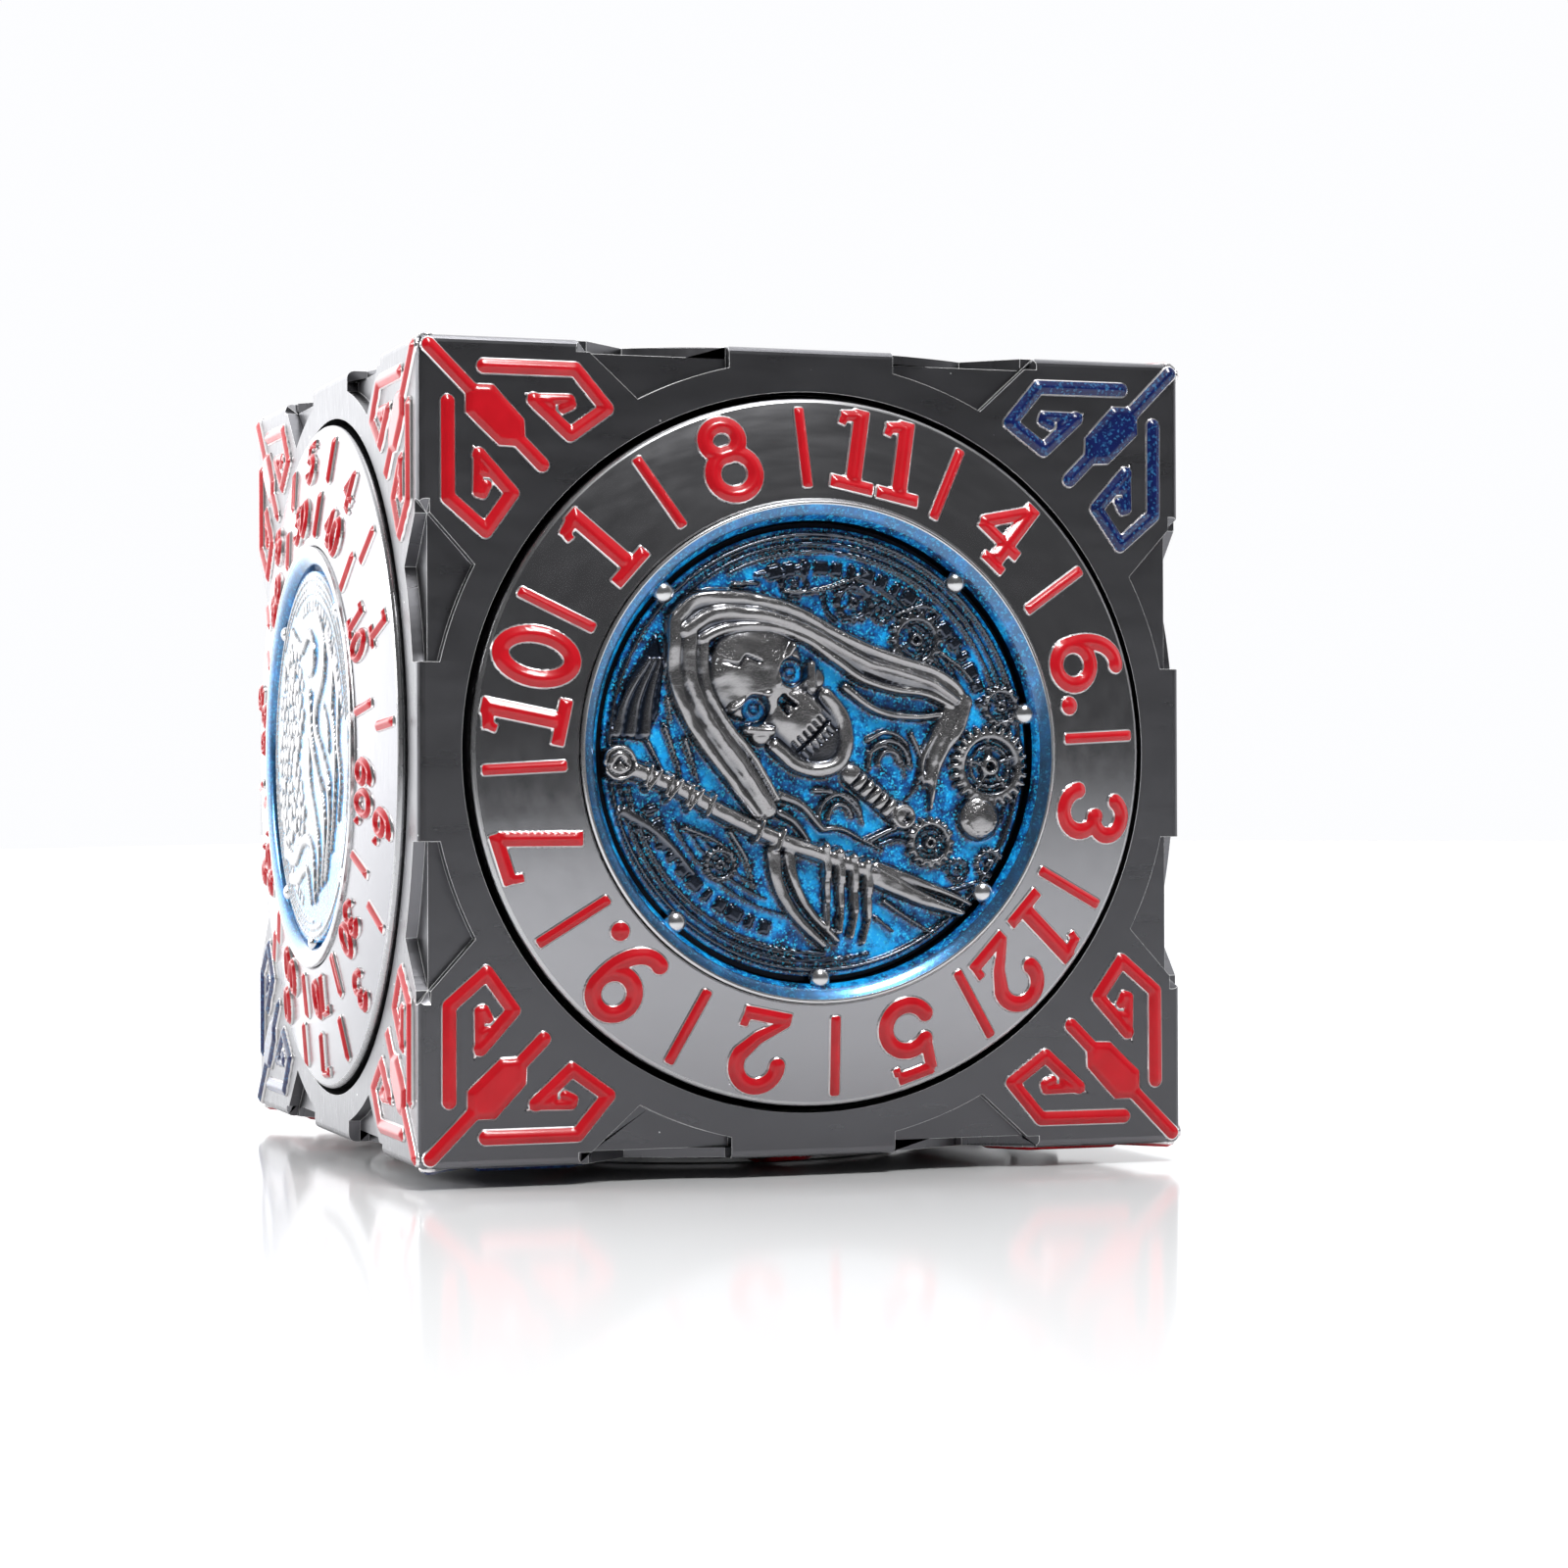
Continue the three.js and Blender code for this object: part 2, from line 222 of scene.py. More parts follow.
def turned(name, profile, sides, closed=False):
    """A turned solid: a circle drawn out ring by ring along (radius, height) points in millimetres."""
    deselect_all()
    bpy.ops.mesh.primitive_circle_add(vertices=sides, radius=profile[0][0] * MM)
    piece = bpy.context.object
    piece.name = name
    bpy.ops.object.mode_set(mode="EDIT")
    bpy.ops.transform.translate(value=(0, 0, profile[0][1] * MM))
    if not closed:
        bpy.ops.mesh.edge_face_add()
        bpy.ops.mesh.select_mode(type="EDGE")
    ring = profile + [profile[0]] if closed else profile
    for (r_from, z_from), (r_to, z_to) in zip(ring, ring[1:]):
        bpy.ops.mesh.extrude_region_move(TRANSFORM_OT_translate={"value": (0, 0, (z_to - z_from) * MM)})
        scale = r_to / r_from
        bpy.ops.transform.resize(value=(scale, scale, 1), center_override=(0, 0, z_to * MM))
    bpy.ops.mesh.select_all(action="SELECT")
    bpy.ops.mesh.remove_doubles(threshold=1e-7)
    if not closed:
        bpy.ops.mesh.select_all(action="DESELECT")
        bpy.ops.mesh.select_non_manifold()
        bpy.ops.mesh.edge_face_add()
    turn_faces_outward()
    return piece


def plate(name, outline, bottom, top):
    """A plate cut to a closed outline of millimetre points, between two heights."""
    curve = bpy.data.curves.new(name, "CURVE")
    curve.dimensions = "2D"
    curve.fill_mode = "BOTH"
    curve.extrude = (top - bottom) / 2 * MM
    edge = curve.splines.new("POLY")
    edge.points.add(len(outline) - 1)
    for point, (x, y) in zip(edge.points, outline):
        point.co = (x * MM, y * MM, 0, 1)
    edge.use_cyclic_u = True
    pick(add_to_scene(name, curve))
    bpy.ops.object.convert(target="MESH")
    piece = bpy.context.object
    bpy.ops.object.mode_set(mode="EDIT")
    bpy.ops.mesh.select_all(action="SELECT")
    bpy.ops.mesh.remove_doubles(threshold=1e-7)
    turn_faces_outward()
    piece.data.transform(Matrix.Translation((0, 0, (top + bottom) / 2 * MM)))
    return piece


def join(name, pieces):
    deselect_all()
    for piece in pieces:
        piece.select_set(True)
    bpy.context.view_layer.objects.active = pieces[0]
    bpy.ops.object.join()
    pieces[0].name = name
    return pieces[0]


def discard(piece):
    bpy.data.objects.remove(piece)


def copy_of(piece, name, matrix):
    twin = add_to_scene(name, piece.data.copy())
    twin.data.transform(matrix)
    return twin


NOTCH_DEPTH = 0.6
NOTCH_INNER = 4.3  # the notch's ends, from the middle of the edge
NOTCH_OUTER = 12.1
RING_WALL = 19.4  # radius of the wall that is left round the dial
FRAME_HALF = HALF / MM
ABOVE = 1.0  # how far the cutting tools stand out of the face


def notch_outline(side):
    """A notch beside the middle tab of the top edge; its inner edge follows the wall round the dial."""
    start = math.atan2(17.2, 9.0)
    end = math.acos(NOTCH_INNER / RING_WALL)
    points = [(NOTCH_OUTER + 1.1, FRAME_HALF + ABOVE), (NOTCH_OUTER, FRAME_HALF)]
    for angle in np.linspace(start, end, 9):
        points.append((RING_WALL * math.cos(angle), RING_WALL * math.sin(angle)))
    points.append((NOTCH_INNER, FRAME_HALF + ABOVE))
    return [(side * x, y) for x, y in points]


bpy.ops.mesh.primitive_cube_add(size=2 * HALF, location=CENTRE)
cast_frame = bpy.context.object
cast_frame.name = "cast_frame"
bpy.ops.object.transform_apply(location=True, rotation=False, scale=False)
apply_modifier(cast_frame, "BEVEL", width=0.38 * MM, segments=4, limit_method="ANGLE")

cutters = [turned("pocket_cutter", [
    (5.2, -FRAME_HALF + 0.5), (5.2, -8.39), (6.38, -8.39), (6.38, -3.5), (7.9, -3.5), (7.9, -8.0),
    (11.4, -8.0), (17.85, -1.55), (17.85, ABOVE),
], DIAL_SIDES)]
for side in (-1, 1):
    one = plate("notch_cutter", notch_outline(side), -NOTCH_DEPTH, ABOVE)
    for quarter in range(4):
        cutters.append(copy_of(one, "notch_cutter", Matrix.Rotation(quarter * math.pi / 2, 4, "Z")))
    discard(one)
face_cutter = join("face_cutter", cutters)
for face in FACES:
    tool = copy_of(face_cutter, "tool", face_matrix(face))
    apply_modifier(cast_frame, "BOOLEAN", operation="DIFFERENCE", solver="EXACT", object=tool)
    discard(tool)
discard(face_cutter)


def node_group(name, inputs, outputs):
    """An empty node group, its input node and its output node. Sockets are floats, and Color is a colour."""
    group = bpy.data.node_groups.new(name, "ShaderNodeTree")
    for way, labels in (("INPUT", inputs), ("OUTPUT", outputs)):
        for label in labels:
            kind = "NodeSocketColor" if label == "Color" else "NodeSocketFloat"
            group.interface.new_socket(label, in_out=way, socket_type=kind)
    return group, group.nodes.new("NodeGroupInput"), group.nodes.new("NodeGroupOutput")


def metal_grain_group():
    """Plated casting: broad tone, fine grain, hair scratches and bright specks, as masks and a height."""
    group, inside, outside = node_group("plated_casting_grain", ("Tone Depth", "Roughness"),
                                        ("Tone", "Roughness", "Height", "Dust"))
    place = add_node(group, "TexCoord").outputs["Object"]
    broad = add_node(group, "TexNoise", Vector=place, Scale=90.0, Detail=3.0).outputs["Fac"]
    fine = add_node(group, "TexNoise", Vector=place, Scale=5200.0, Detail=2.0).outputs["Fac"]
    stretch = add_node(group, "Mapping", Vector=place, Rotation=(0.3, 0.5, 0.7), Scale=(260.0, 6200.0, 900.0))
    scratches = add_node(group, "TexNoise", Vector=stretch.outputs[0], Scale=1.0, Detail=2.0).outputs["Fac"]
    tone = add_node(group, "Math", broad, inside.outputs["Tone Depth"], 0.9, operation="MULTIPLY_ADD")
    rough = add_node(group, "Math", scratches, 0.16, inside.outputs["Roughness"], operation="MULTIPLY_ADD")
    height = add_node(group, "Math", fine, 0.35, scratches, operation="MULTIPLY_ADD")
    specks = add_node(group, "TexVoronoi", Vector=place, Scale=900.0)
    chance = add_node(group, "SeparateColor", specks.outputs["Color"]).outputs["Red"]
    size = add_node(group, "MapRange", Value=chance, From_Min=0.7, From_Max=1.0, To_Min=0.0, To_Max=0.06)
    dust = add_node(group, "Math", specks.outputs["Distance"], size.outputs[0], operation="LESS_THAN")
    set_up(outside, Tone=tone.outputs[0], Roughness=rough.outputs[0], Height=height.outputs[0],
           Dust=dust.outputs[0])
    return group


GRAIN = metal_grain_group()


def plated_metal(name, colour, roughness, tone_depth, bump, metallic=1.0):
    """A plated casting of one colour, its grain laid on by the shared group."""
    material, tree, shader = new_material(name)
    grain = add_node(tree, "Group", node_tree=GRAIN, Tone_Depth=tone_depth, Roughness=roughness).outputs
    tint = mixed(tree, 1.0, (*colour, 1), grain["Tone"], "MULTIPLY")
    relief = add_node(tree, "Bump", Strength=bump, Distance=0.02 * MM, Height=grain["Height"])
    set_up(shader, Base_Color=mixed(tree, grain["Dust"], tint, (1, 1, 1, 1)), Metallic=metallic,
           Roughness=grain["Roughness"], Normal=relief.outputs["Normal"])
    return material


satin_gunmetal = plated_metal("satin_gunmetal", (0.15, 0.15, 0.16), 0.22, 0.3, 0.25)
# Near-white, barely metallic edge colour: partly worn plating, partly a painted highlight line.
rubbed_edge = plated_metal("rubbed_edge", (1.0, 1.0, 1.0), 0.34, 0.0, 0.2, metallic=0.1)
paint(cast_frame, satin_gunmetal, rubbed_edge)
# The fine bevel's faces, on every edge and notch, take the painted-highlight edge colour.
apply_modifier(cast_frame, "BEVEL", width=0.2 * MM, segments=2, limit_method="ANGLE",
               angle_limit=math.radians(40), material=1, use_clamp_overlap=True)
apply_modifier(cast_frame, "WEIGHTED_NORMAL", keep_sharp=True)
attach(cast_frame, "frame")
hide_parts("frame")


# ------------------------------------------------------------------ number dials
# Cast zinc discs with a shallow cone for the numbers, a polished gunmetal plate, a seat for the
# medallion and a stub pressed into the bearing. The side wall in the gap stays nearly black.

DIAL_RADIUS = 17.5
CONE_FOOT = 17.43
HIGH_DOME = {"edge": 0.38, "slope": 0.2, "top": 1.6}
MIDDLE_DOME = {"edge": 0.38, "slope": 0.12, "top": 1.35}
LOW_DOME = {"edge": 0.15, "slope": 0.12, "top": 1.0}
DOME = {"front": HIGH_DOME, "back": HIGH_DOME, "left": MIDDLE_DOME, "right": MIDDLE_DOME, "top": LOW_DOME,
        "bottom": LOW_DOME}
MEDALLION = {face: 11.1 if face == "left" else 12.35 for face in FACES}


def cone_height(dome, radius):
    return dome["edge"] + dome["slope"] * (CONE_FOOT - radius)


def on_cone(dome, radius, drop=0.0):
    return radius, cone_height(dome, radius) - drop


polished_gunmetal = plated_metal("polished_gunmetal", (0.33, 0.33, 0.345), 0.12, 0.12, 0.08)
# A lighter copy of the dial's gunmetal for its rounded outer edge and the seat's lip: painted highlight
# lines.
painted_highlight_rim = plated_metal("painted_highlight_rim", (0.45, 0.45, 0.46), 0.2, 0.2, 0.2)
for face, dome in DOME.items():
    seat, edge = MEDALLION[face] + 0.04, dome["edge"]
    dial = turned(f"number_dial_{face}", [
        (3.1, -8.1), (3.1, -3.55), (3.9, -3.55), (3.9, -2.6), (15.93, -2.6), (DIAL_RADIUS, -1.1),
        (DIAL_RADIUS, -1.05), (DIAL_RADIUS, edge - 0.26), (DIAL_RADIUS, edge - 0.22),
        (DIAL_RADIUS - 0.02, edge - 0.13), (DIAL_RADIUS - 0.08, edge - 0.05),
        on_cone(dome, DIAL_RADIUS - 0.17, 0.01), on_cone(dome, DIAL_RADIUS - 0.22),
        on_cone(dome, seat + 0.16), on_cone(dome, seat + 0.1), on_cone(dome, seat, 0.1), (seat, -0.9),
    ], DIAL_SIDES)
    paint(dial, polished_gunmetal, painted_highlight_rim)
    # Facets on the rounded outer edge and on the seat's lip take the painted highlight metal.
    for facet in dial.data.polygons:
        reach, height = math.hypot(*facet.center.xy) / MM, facet.center.z / MM
        near_edge = DIAL_RADIUS - 0.2 < reach and height > edge - 0.23
        near_seat = seat < reach < seat + 0.08 and height > 0
        facet.material_index = 1 if near_edge or near_seat else 0
    smooth_by_angle(dial, 25)
    dial.data.transform(face_matrix(face))
    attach(dial, f"dial_{face}")
    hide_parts(f"dial_{face}")


# ------------------------------------------------------------------ enamelled numbers, bars and corner motifs
# Raised metal letters and lines cast with the dials and the frame, flooded with glossy enamel that
# domes between thin bright edges. Each sheet of relief is drawn from strokes and closed underneath.


def nearest(x, y, a, b):
    """How far along a line from a to b the nearest place to each point is, 0 to 1, and the way to it."""
    (ax, ay), (bx, by) = a, b
    dx, dy = bx - ax, by - ay
    t = np.clip(((x - ax) * dx + (y - ay) * dy) / (dx * dx + dy * dy + 1e-12), 0, 1)
    return t, x - ax - t * dx, y - ay - t * dy


def stroke(x, y, points, half, end_half=None):
    """Distance outside a round-ended stroke through the points, its half width changing evenly."""
    best = np.full(x.shape, 1e3)
    end_half = half if end_half is None else end_half
    steps = len(points) - 1
    for i, (a, b) in enumerate(zip(points, points[1:])):
        t, off_x, off_y = nearest(x, y, a, b)
        width = half + (end_half - half) * (i + t) / steps
        best = np.minimum(best, np.hypot(off_x, off_y) - width)
    return best


def slab(x, y, a, b, half, corner=0.12):
    """Distance outside a square-ended bar from a to b."""
    (ax, ay), (bx, by) = a, b
    length = math.hypot(bx - ax, by - ay)
    ux, uy = (bx - ax) / length, (by - ay) / length
    mx, my = (ax + bx) / 2, (ay + by) / 2
    along = np.abs((x - mx) * ux + (y - my) * uy) - (length / 2 - corner)
    across = np.abs((y - my) * ux - (x - mx) * uy) - (half - corner)
    outside = np.hypot(np.maximum(along, 0), np.maximum(across, 0))
    return outside + np.minimum(np.maximum(along, across), 0) - corner


def polygon(x, y, points):
    """Distance outside a closed straight-sided shape."""
    best = np.full(x.shape, 1e3)
    inside = np.zeros(x.shape, bool)
    for (ax, ay), (bx, by) in zip(points, points[1:] + points[:1]):
        _, off_x, off_y = nearest(x, y, (ax, ay), (bx, by))
        best = np.minimum(best, np.hypot(off_x, off_y))
        crosses = (ay > y) != (by > y)
        inside ^= crosses & (x < (bx - ax) * (y - ay) / (by - ay or 1e-12) + ax)
    return np.where(inside, -1, 1) * best


def bow(cx, cy, rx, ry, start, end, steps=18):
    """Points along part of an ellipse, angles in degrees."""
    angles = np.radians(np.linspace(start, end, steps + 1))
    return [(cx + rx * math.cos(a), cy + ry * math.sin(a)) for a in angles]


FIGURE_HALF = 0.45  # half the width of a main stroke; a figure is 4.1 mm high
SERIFS = {  # square-ended bars of each figure: start, end, half width
    "1": [((0.12, -1.7), (0.12, 2.02), FIGURE_HALF), ((-1.05, -1.68), (1.2, -1.68), 0.36),
          ((-0.95, 1.42), (0.3, 1.72), 0.33), ((-0.72, 1.5), (-0.8, 1.0), 0.26)],
    "2": [((-1.15, -1.68), (1.3, -1.68), 0.37), ((1.05, -1.6), (1.12, -0.95), 0.27)],
    "4": [((-1.35, -0.62), (1.3, -0.62), 0.36), ((0.42, 1.95), (0.42, -1.7), FIGURE_HALF),
          ((-0.3, -1.74), (1.15, -1.74), 0.31)],
    "5": [((-1.0, 1.68), (1.0, 1.68), 0.37), ((0.88, 1.6), (0.92, 1.05), 0.26),
          ((-0.82, 1.8), (-0.86, 0.1), 0.36)],
    "7": [((-1.25, 1.66), (1.28, 1.66), 0.38), ((-1.0, 1.6), (-1.05, 0.95), 0.27),
          ((0.98, 1.7), (-0.22, -2.05), 0.4)],
}
CURVES = {  # round-ended strokes of each figure: points, half width at the start and at the end
    "0": [(bow(0, 0, 1.0, 1.62, 0, 360, 32), FIGURE_HALF, FIGURE_HALF)],
    "2": [([(-0.98, 0.5)] + bow(0, 0.62, 1.0, 1.0, 175, -25), FIGURE_HALF, FIGURE_HALF),
          ([(0.9, 0.2), (0.3, -0.6), (-0.85, -1.5)], FIGURE_HALF, 0.3)],
    "3": [(bow(-0.02, 0.86, 0.86, 0.78, 160, -80), FIGURE_HALF, FIGURE_HALF),
          (bow(-0.02, -0.72, 0.98, 0.92, 85, -160), FIGURE_HALF, FIGURE_HALF)],
    "4": [([(0.42, 1.55), (-1.1, -0.45)], 0.36, 0.36)],
    "5": [(bow(-0.1, -0.55, 1.1, 1.08, 132, -160, 24), FIGURE_HALF, FIGURE_HALF)],
    "6": [(bow(0, -0.68, 0.95, 0.96, 0, 360, 28), FIGURE_HALF, FIGURE_HALF),
          (bow(0.42, -0.45, 1.36, 2.1, 178, 78), FIGURE_HALF, FIGURE_HALF)],
    "8": [(bow(0, 0.93, 0.8, 0.72, 0, 360, 28), FIGURE_HALF, FIGURE_HALF),
          (bow(0, -0.7, 1.02, 0.96, 0, 360, 28), FIGURE_HALF, FIGURE_HALF)],
}


def digit(x, y, figure):
    """Distance outside a slab-serif figure or a full stop, centred on the origin."""
    if figure == ".":
        return np.hypot(x, y) - 0.5
    if figure == "9":
        return digit(-x, -y, "6")
    return np.minimum.reduce([stroke(x, y, *shape) for shape in CURVES.get(figure, [])]
                             + [slab(x, y, *shape) for shape in SERIFS.get(figure, [])])


LEDGE = 0.1  # width of the flat ledge at the foot of an enamel bevel
WALL = 0.1  # height of the ledge above the metal
FOOT = 0.15  # depth of a relief sheet's closed base below the metal


def fine_grid(name, columns, rows):
    """A grid primitive, and its points as they lie: from -1 to 1 across and up."""
    deselect_all()
    bpy.ops.mesh.primitive_grid_add(x_subdivisions=columns, y_subdivisions=rows, size=2)
    piece = bpy.context.object
    piece.name = name
    return piece, points_of(piece.data)


def points_of(mesh):
    flat = np.zeros(len(mesh.vertices) * 3, np.float32)
    mesh.vertices.foreach_get("co", flat)
    return flat.reshape(-1, 3).astype(float)


def set_points(mesh, points):
    mesh.vertices.foreach_set("co", points.astype(np.float32).ravel())


def set_attribute(mesh, name, values):
    mesh.attributes.new(name, "FLOAT", "POINT").data.foreach_set("value", values.astype(np.float32).ravel())


def relief_sheet(name, distance, box, crown, shoulder, cell=0.09):
    """A grid cut to where distance(x, y) is below zero: a wall to a ledge, then a bevel up crown mm more."""
    (x0, y0), (x1, y1) = box
    piece, points = fine_grid(name, round((x1 - x0) / cell), round((y1 - y0) / cell))
    mesh = piece.data
    x = x0 + (points[:, 0] + 1) / 2 * (x1 - x0)
    y = y0 + (points[:, 1] + 1) / 2 * (y1 - y0)
    step = 0.01
    for _ in range(3):
        d = distance(x, y)
        gx = (distance(x + step, y) - distance(x - step, y)) / (2 * step)
        gy = (distance(x, y + step) - distance(x, y - step)) / (2 * step)
        near = (d > -0.3 * cell) & (d < 0.78 * cell)
        size = np.maximum(np.hypot(gx, gy), 0.3) ** 2
        x = np.where(near, x - d * gx / size, x)
        y = np.where(near, y - d * gy / size, y)
    d = distance(x, y)
    gone = d > 0.08 * cell
    corners = np.zeros(len(mesh.loops), np.int32)
    mesh.loops.foreach_get("vertex_index", corners)
    corners = corners.reshape(-1, 4)
    outside = distance(x[corners].mean(axis=1), y[corners].mean(axis=1)) > 0.03 * cell
    outside |= gone[corners].any(axis=1)
    bevel = np.clip((-d - LEDGE) / (shoulder - LEDGE), 0, 1)
    z = WALL * np.clip(-d / 0.05, 0, 1) + crown * bevel
    set_points(mesh, np.stack((x, y, z), axis=-1) * MM)
    set_attribute(mesh, "rim", np.clip(1 + d / 0.16, 0, 1))
    mesh.update()
    bpy.ops.object.mode_set(mode="EDIT")
    bpy.ops.mesh.select_mode(type="FACE")
    bpy.ops.mesh.select_all(action="DESELECT")
    bpy.ops.object.mode_set(mode="OBJECT")
    mesh.polygons.foreach_set("select", outside)
    bpy.ops.object.mode_set(mode="EDIT")
    bpy.ops.mesh.delete(type="FACE")
    bpy.ops.mesh.select_mode(type="VERT")
    bpy.ops.mesh.select_all(action="SELECT")
    bpy.ops.mesh.delete_loose()
    bpy.ops.mesh.select_mode(type="EDGE")
    bpy.ops.mesh.select_non_manifold()
    bpy.ops.mesh.extrude_region_move(TRANSFORM_OT_translate={"value": (0, 0, -FOOT * MM)})
    bpy.ops.mesh.fill(use_beauty=False)
    bpy.ops.mesh.select_all(action="SELECT")
    bpy.ops.mesh.faces_shade_smooth()
    turn_faces_outward()
    return piece


def enamel_material(name, colour, dark, glitter):
    """Glossy enamel that thins to bright metal at its rim, with fine metal flake where glitter is above 0."""
    material, tree, shader = new_material(name)
    place = add_node(tree, "TexCoord").outputs["Object"]
    flow = add_node(tree, "TexNoise", Vector=place, Scale=700.0, Detail=2.0).outputs["Fac"]
    body = mixed(tree, flow, (*dark, 1), (*colour, 1))
    if glitter:
        flakes = add_node(tree, "TexVoronoi", Vector=place, Scale=9500.0)
        chance = add_node(tree, "SeparateColor", flakes.outputs["Color"]).outputs["Red"]
        lit = add_node(tree, "MapRange", Value=chance, From_Min=0.72, From_Max=1.0, To_Min=0.0,
                       To_Max=glitter)
        body = mixed(tree, lit.outputs[0], body, (0.1, 0.5, 0.95, 1))
    rim = add_node(tree, "Attribute", attribute_name="rim").outputs["Fac"]
    bare = add_node(tree, "MapRange", Value=rim, From_Min=0.45, From_Max=0.6).outputs[0]
    ripple = add_node(tree, "Bump", Strength=0.15, Distance=0.05 * MM, Height=flow)
    set_up(shader, Base_Color=mixed(tree, bare, body, (0.8, 0.78, 0.78, 1)), Metallic=bare, Roughness=0.3,
           Specular_IOR_Level=0.2, Coat_Weight=0.55, Coat_Roughness=0.09, Normal=ripple.outputs["Normal"])
    return material


red_enamel = enamel_material("red_enamel", (0.62, 0.006, 0.016), (0.42, 0.003, 0.008), 0)
blue_flake_enamel = enamel_material("blue_flake_enamel", (0.004, 0.014, 0.13), (0.001, 0.003, 0.03), 0.25)


def glyph_sheet(figure):
    wide, high = (0.7, 0.7) if figure == "." else (1.9, 2.35)
    return relief_sheet(f"figure_{figure}", lambda x, y: digit(x, y, figure),
                        ((-wide, -high), (wide, high)), 0.17, 0.37)


def bar_sheet(length):
    end = length / 2
    return relief_sheet("bar", lambda x, y: slab(x, y, (-end, 0), (end, 0), 0.33, 0.2),
                        ((-end - 0.2, -0.5), (end + 0.2, 0.5)), 0.13, 0.28)


FIGURES = {figure: glyph_sheet(figure) for figure in "0123456789."}


def label_places(label, scale):
    """Where a label's figures stand in its sector, in millimetres: (figure, offset across, offset up)."""
    figures = label.rstrip(".")
    gaps = [(2.3 if b == "1" else 2.6 if a == "1" and b not in "02" else 2.75) * scale
            for a, b in zip(figures, figures[1:])]
    start = -sum(gaps) / 2
    places = [(figure, start + sum(gaps[:i]), 0.0) for i, figure in enumerate(figures)]
    if label.endswith("."):
        places.append((".", start + sum(gaps) + 1.75 * scale, -1.55 * scale))
    return places


def lay_on_cone(piece, dome):
    """Bends a flat relief sheet, already in its place across the dial, up on to the number cone."""
    points = points_of(piece.data)
    points[:, 2] += cone_height(dome, np.hypot(points[:, 0], points[:, 1]) / MM) * MM
    set_points(piece.data, points)


# Per row of numbers: the radius they stand on, their scale, and the labels clockwise from the sector
# after the top bar.
DIALS = {
    "front": [(15.03, 1.07, "11 4 6. 3 12 5 2 9. 7 10 1 8".split())],
    "left": [(15.75, 0.6, "5 4 1 6. 3 7 0 9. 2 8".split()),
             (12.8, 0.56, "50 40 10 60. 30 70 00 90. 20 80".split())],
    "back": [(15.03, 1.07, "5 2 4 6. 1 3".split())],
    "right": [(15.03, 1.07, "7 3 6. 1 5 8 2 4".split())],
    "top": [(14.95, 0.76, "20 7 13 5 16 10 2 18 9. 11 1 19 6. 14 3 17 8 12 4 15".split())],
    "bottom": [(15.03, 1.07, "3 1 4 2".split())],
}
ONE_ROW, TWO_ROWS = [(12.95, 17.1)], [(14.5, 17.1), (11.5, 14.1)]
BAR_STARTS = {"front": [3.0], "left": [5.2, 10.4], "back": [30.0], "right": [22.5], "top": [9.0],
              "bottom": [45.0]}
for face, layout in DIALS.items():
    marks = []
    bar_runs = TWO_ROWS if face == "left" else ONE_ROW
    for (radius, scale, row), (inner, outer), start in zip(layout, bar_runs, BAR_STARTS[face]):
        sector = 360 / len(row)
        bar = bar_sheet(outer - inner)
        for i in range(len(row)):
            turn = Matrix.Rotation(math.radians(start + sector * i), 4, "Z")
            marks.append(copy_of(bar, "mark", turn @ Matrix.Translation(((inner + outer) / 2 * MM, 0, 0))))
        discard(bar)
        top_bar = 90 + (start - 90) % sector
        for i, label in enumerate(row):
            turn = Matrix.Rotation(math.radians(top_bar - sector * (i + 0.5) - 90), 4, "Z")
            for figure, across, up in label_places(label, scale):
                place = (turn @ Matrix.Translation((across * MM, (radius + up) * MM, 0))
                         @ Matrix.Diagonal((scale, scale, 1, 1)))
                marks.append(copy_of(FIGURES[figure], "mark", place))
    numbers = join(f"numbers_{face}", marks)
    if face == "top":
        numbers.data.transform(Matrix.Diagonal((1, 1, 0.4, 1)))
    lay_on_cone(numbers, DOME[face])
    numbers.data.materials.clear()
    paint(numbers, red_enamel)
    numbers.data.transform(face_matrix(face))
    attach(numbers, f"dial_{face}")
for sheet in FIGURES.values():
    discard(sheet)


def corner_motif(x, y):
    """Distance outside a corner's motif: a torch on the diagonal between two angular keys."""
    half = 0.42
    u, v = np.minimum(x, y), np.maximum(x, y)
    torch = np.minimum.reduce([
        stroke(x, y, [(0.55, 0.55), (2.6, 2.6)], half),
        polygon(x, y, [(2.73, 2.29), (3.77, 2.29), (5.33, 3.96), (5.37, 4.93), (4.93, 5.37), (3.96, 5.33),
                       (2.29, 3.77), (2.29, 2.73)]),
        stroke(x, y, [(5.0, 5.0), (6.15, 6.15)], half)])
    key = np.minimum.reduce([
        stroke(v, u, [(3.25, 1.47), (7.83, 1.48), (9.4, 3.33), (7.56, 4.65), (5.75, 3.02)], half),
        stroke(v, u, [(5.9, 2.98), (7.55, 2.95), (7.62, 3.2), (7.2, 3.4)], 0.32),
        polygon(v, u, [(5.13, 2.68), (6.9, 2.7), (6.9, 3.9)])])
    return np.minimum(torch, key)


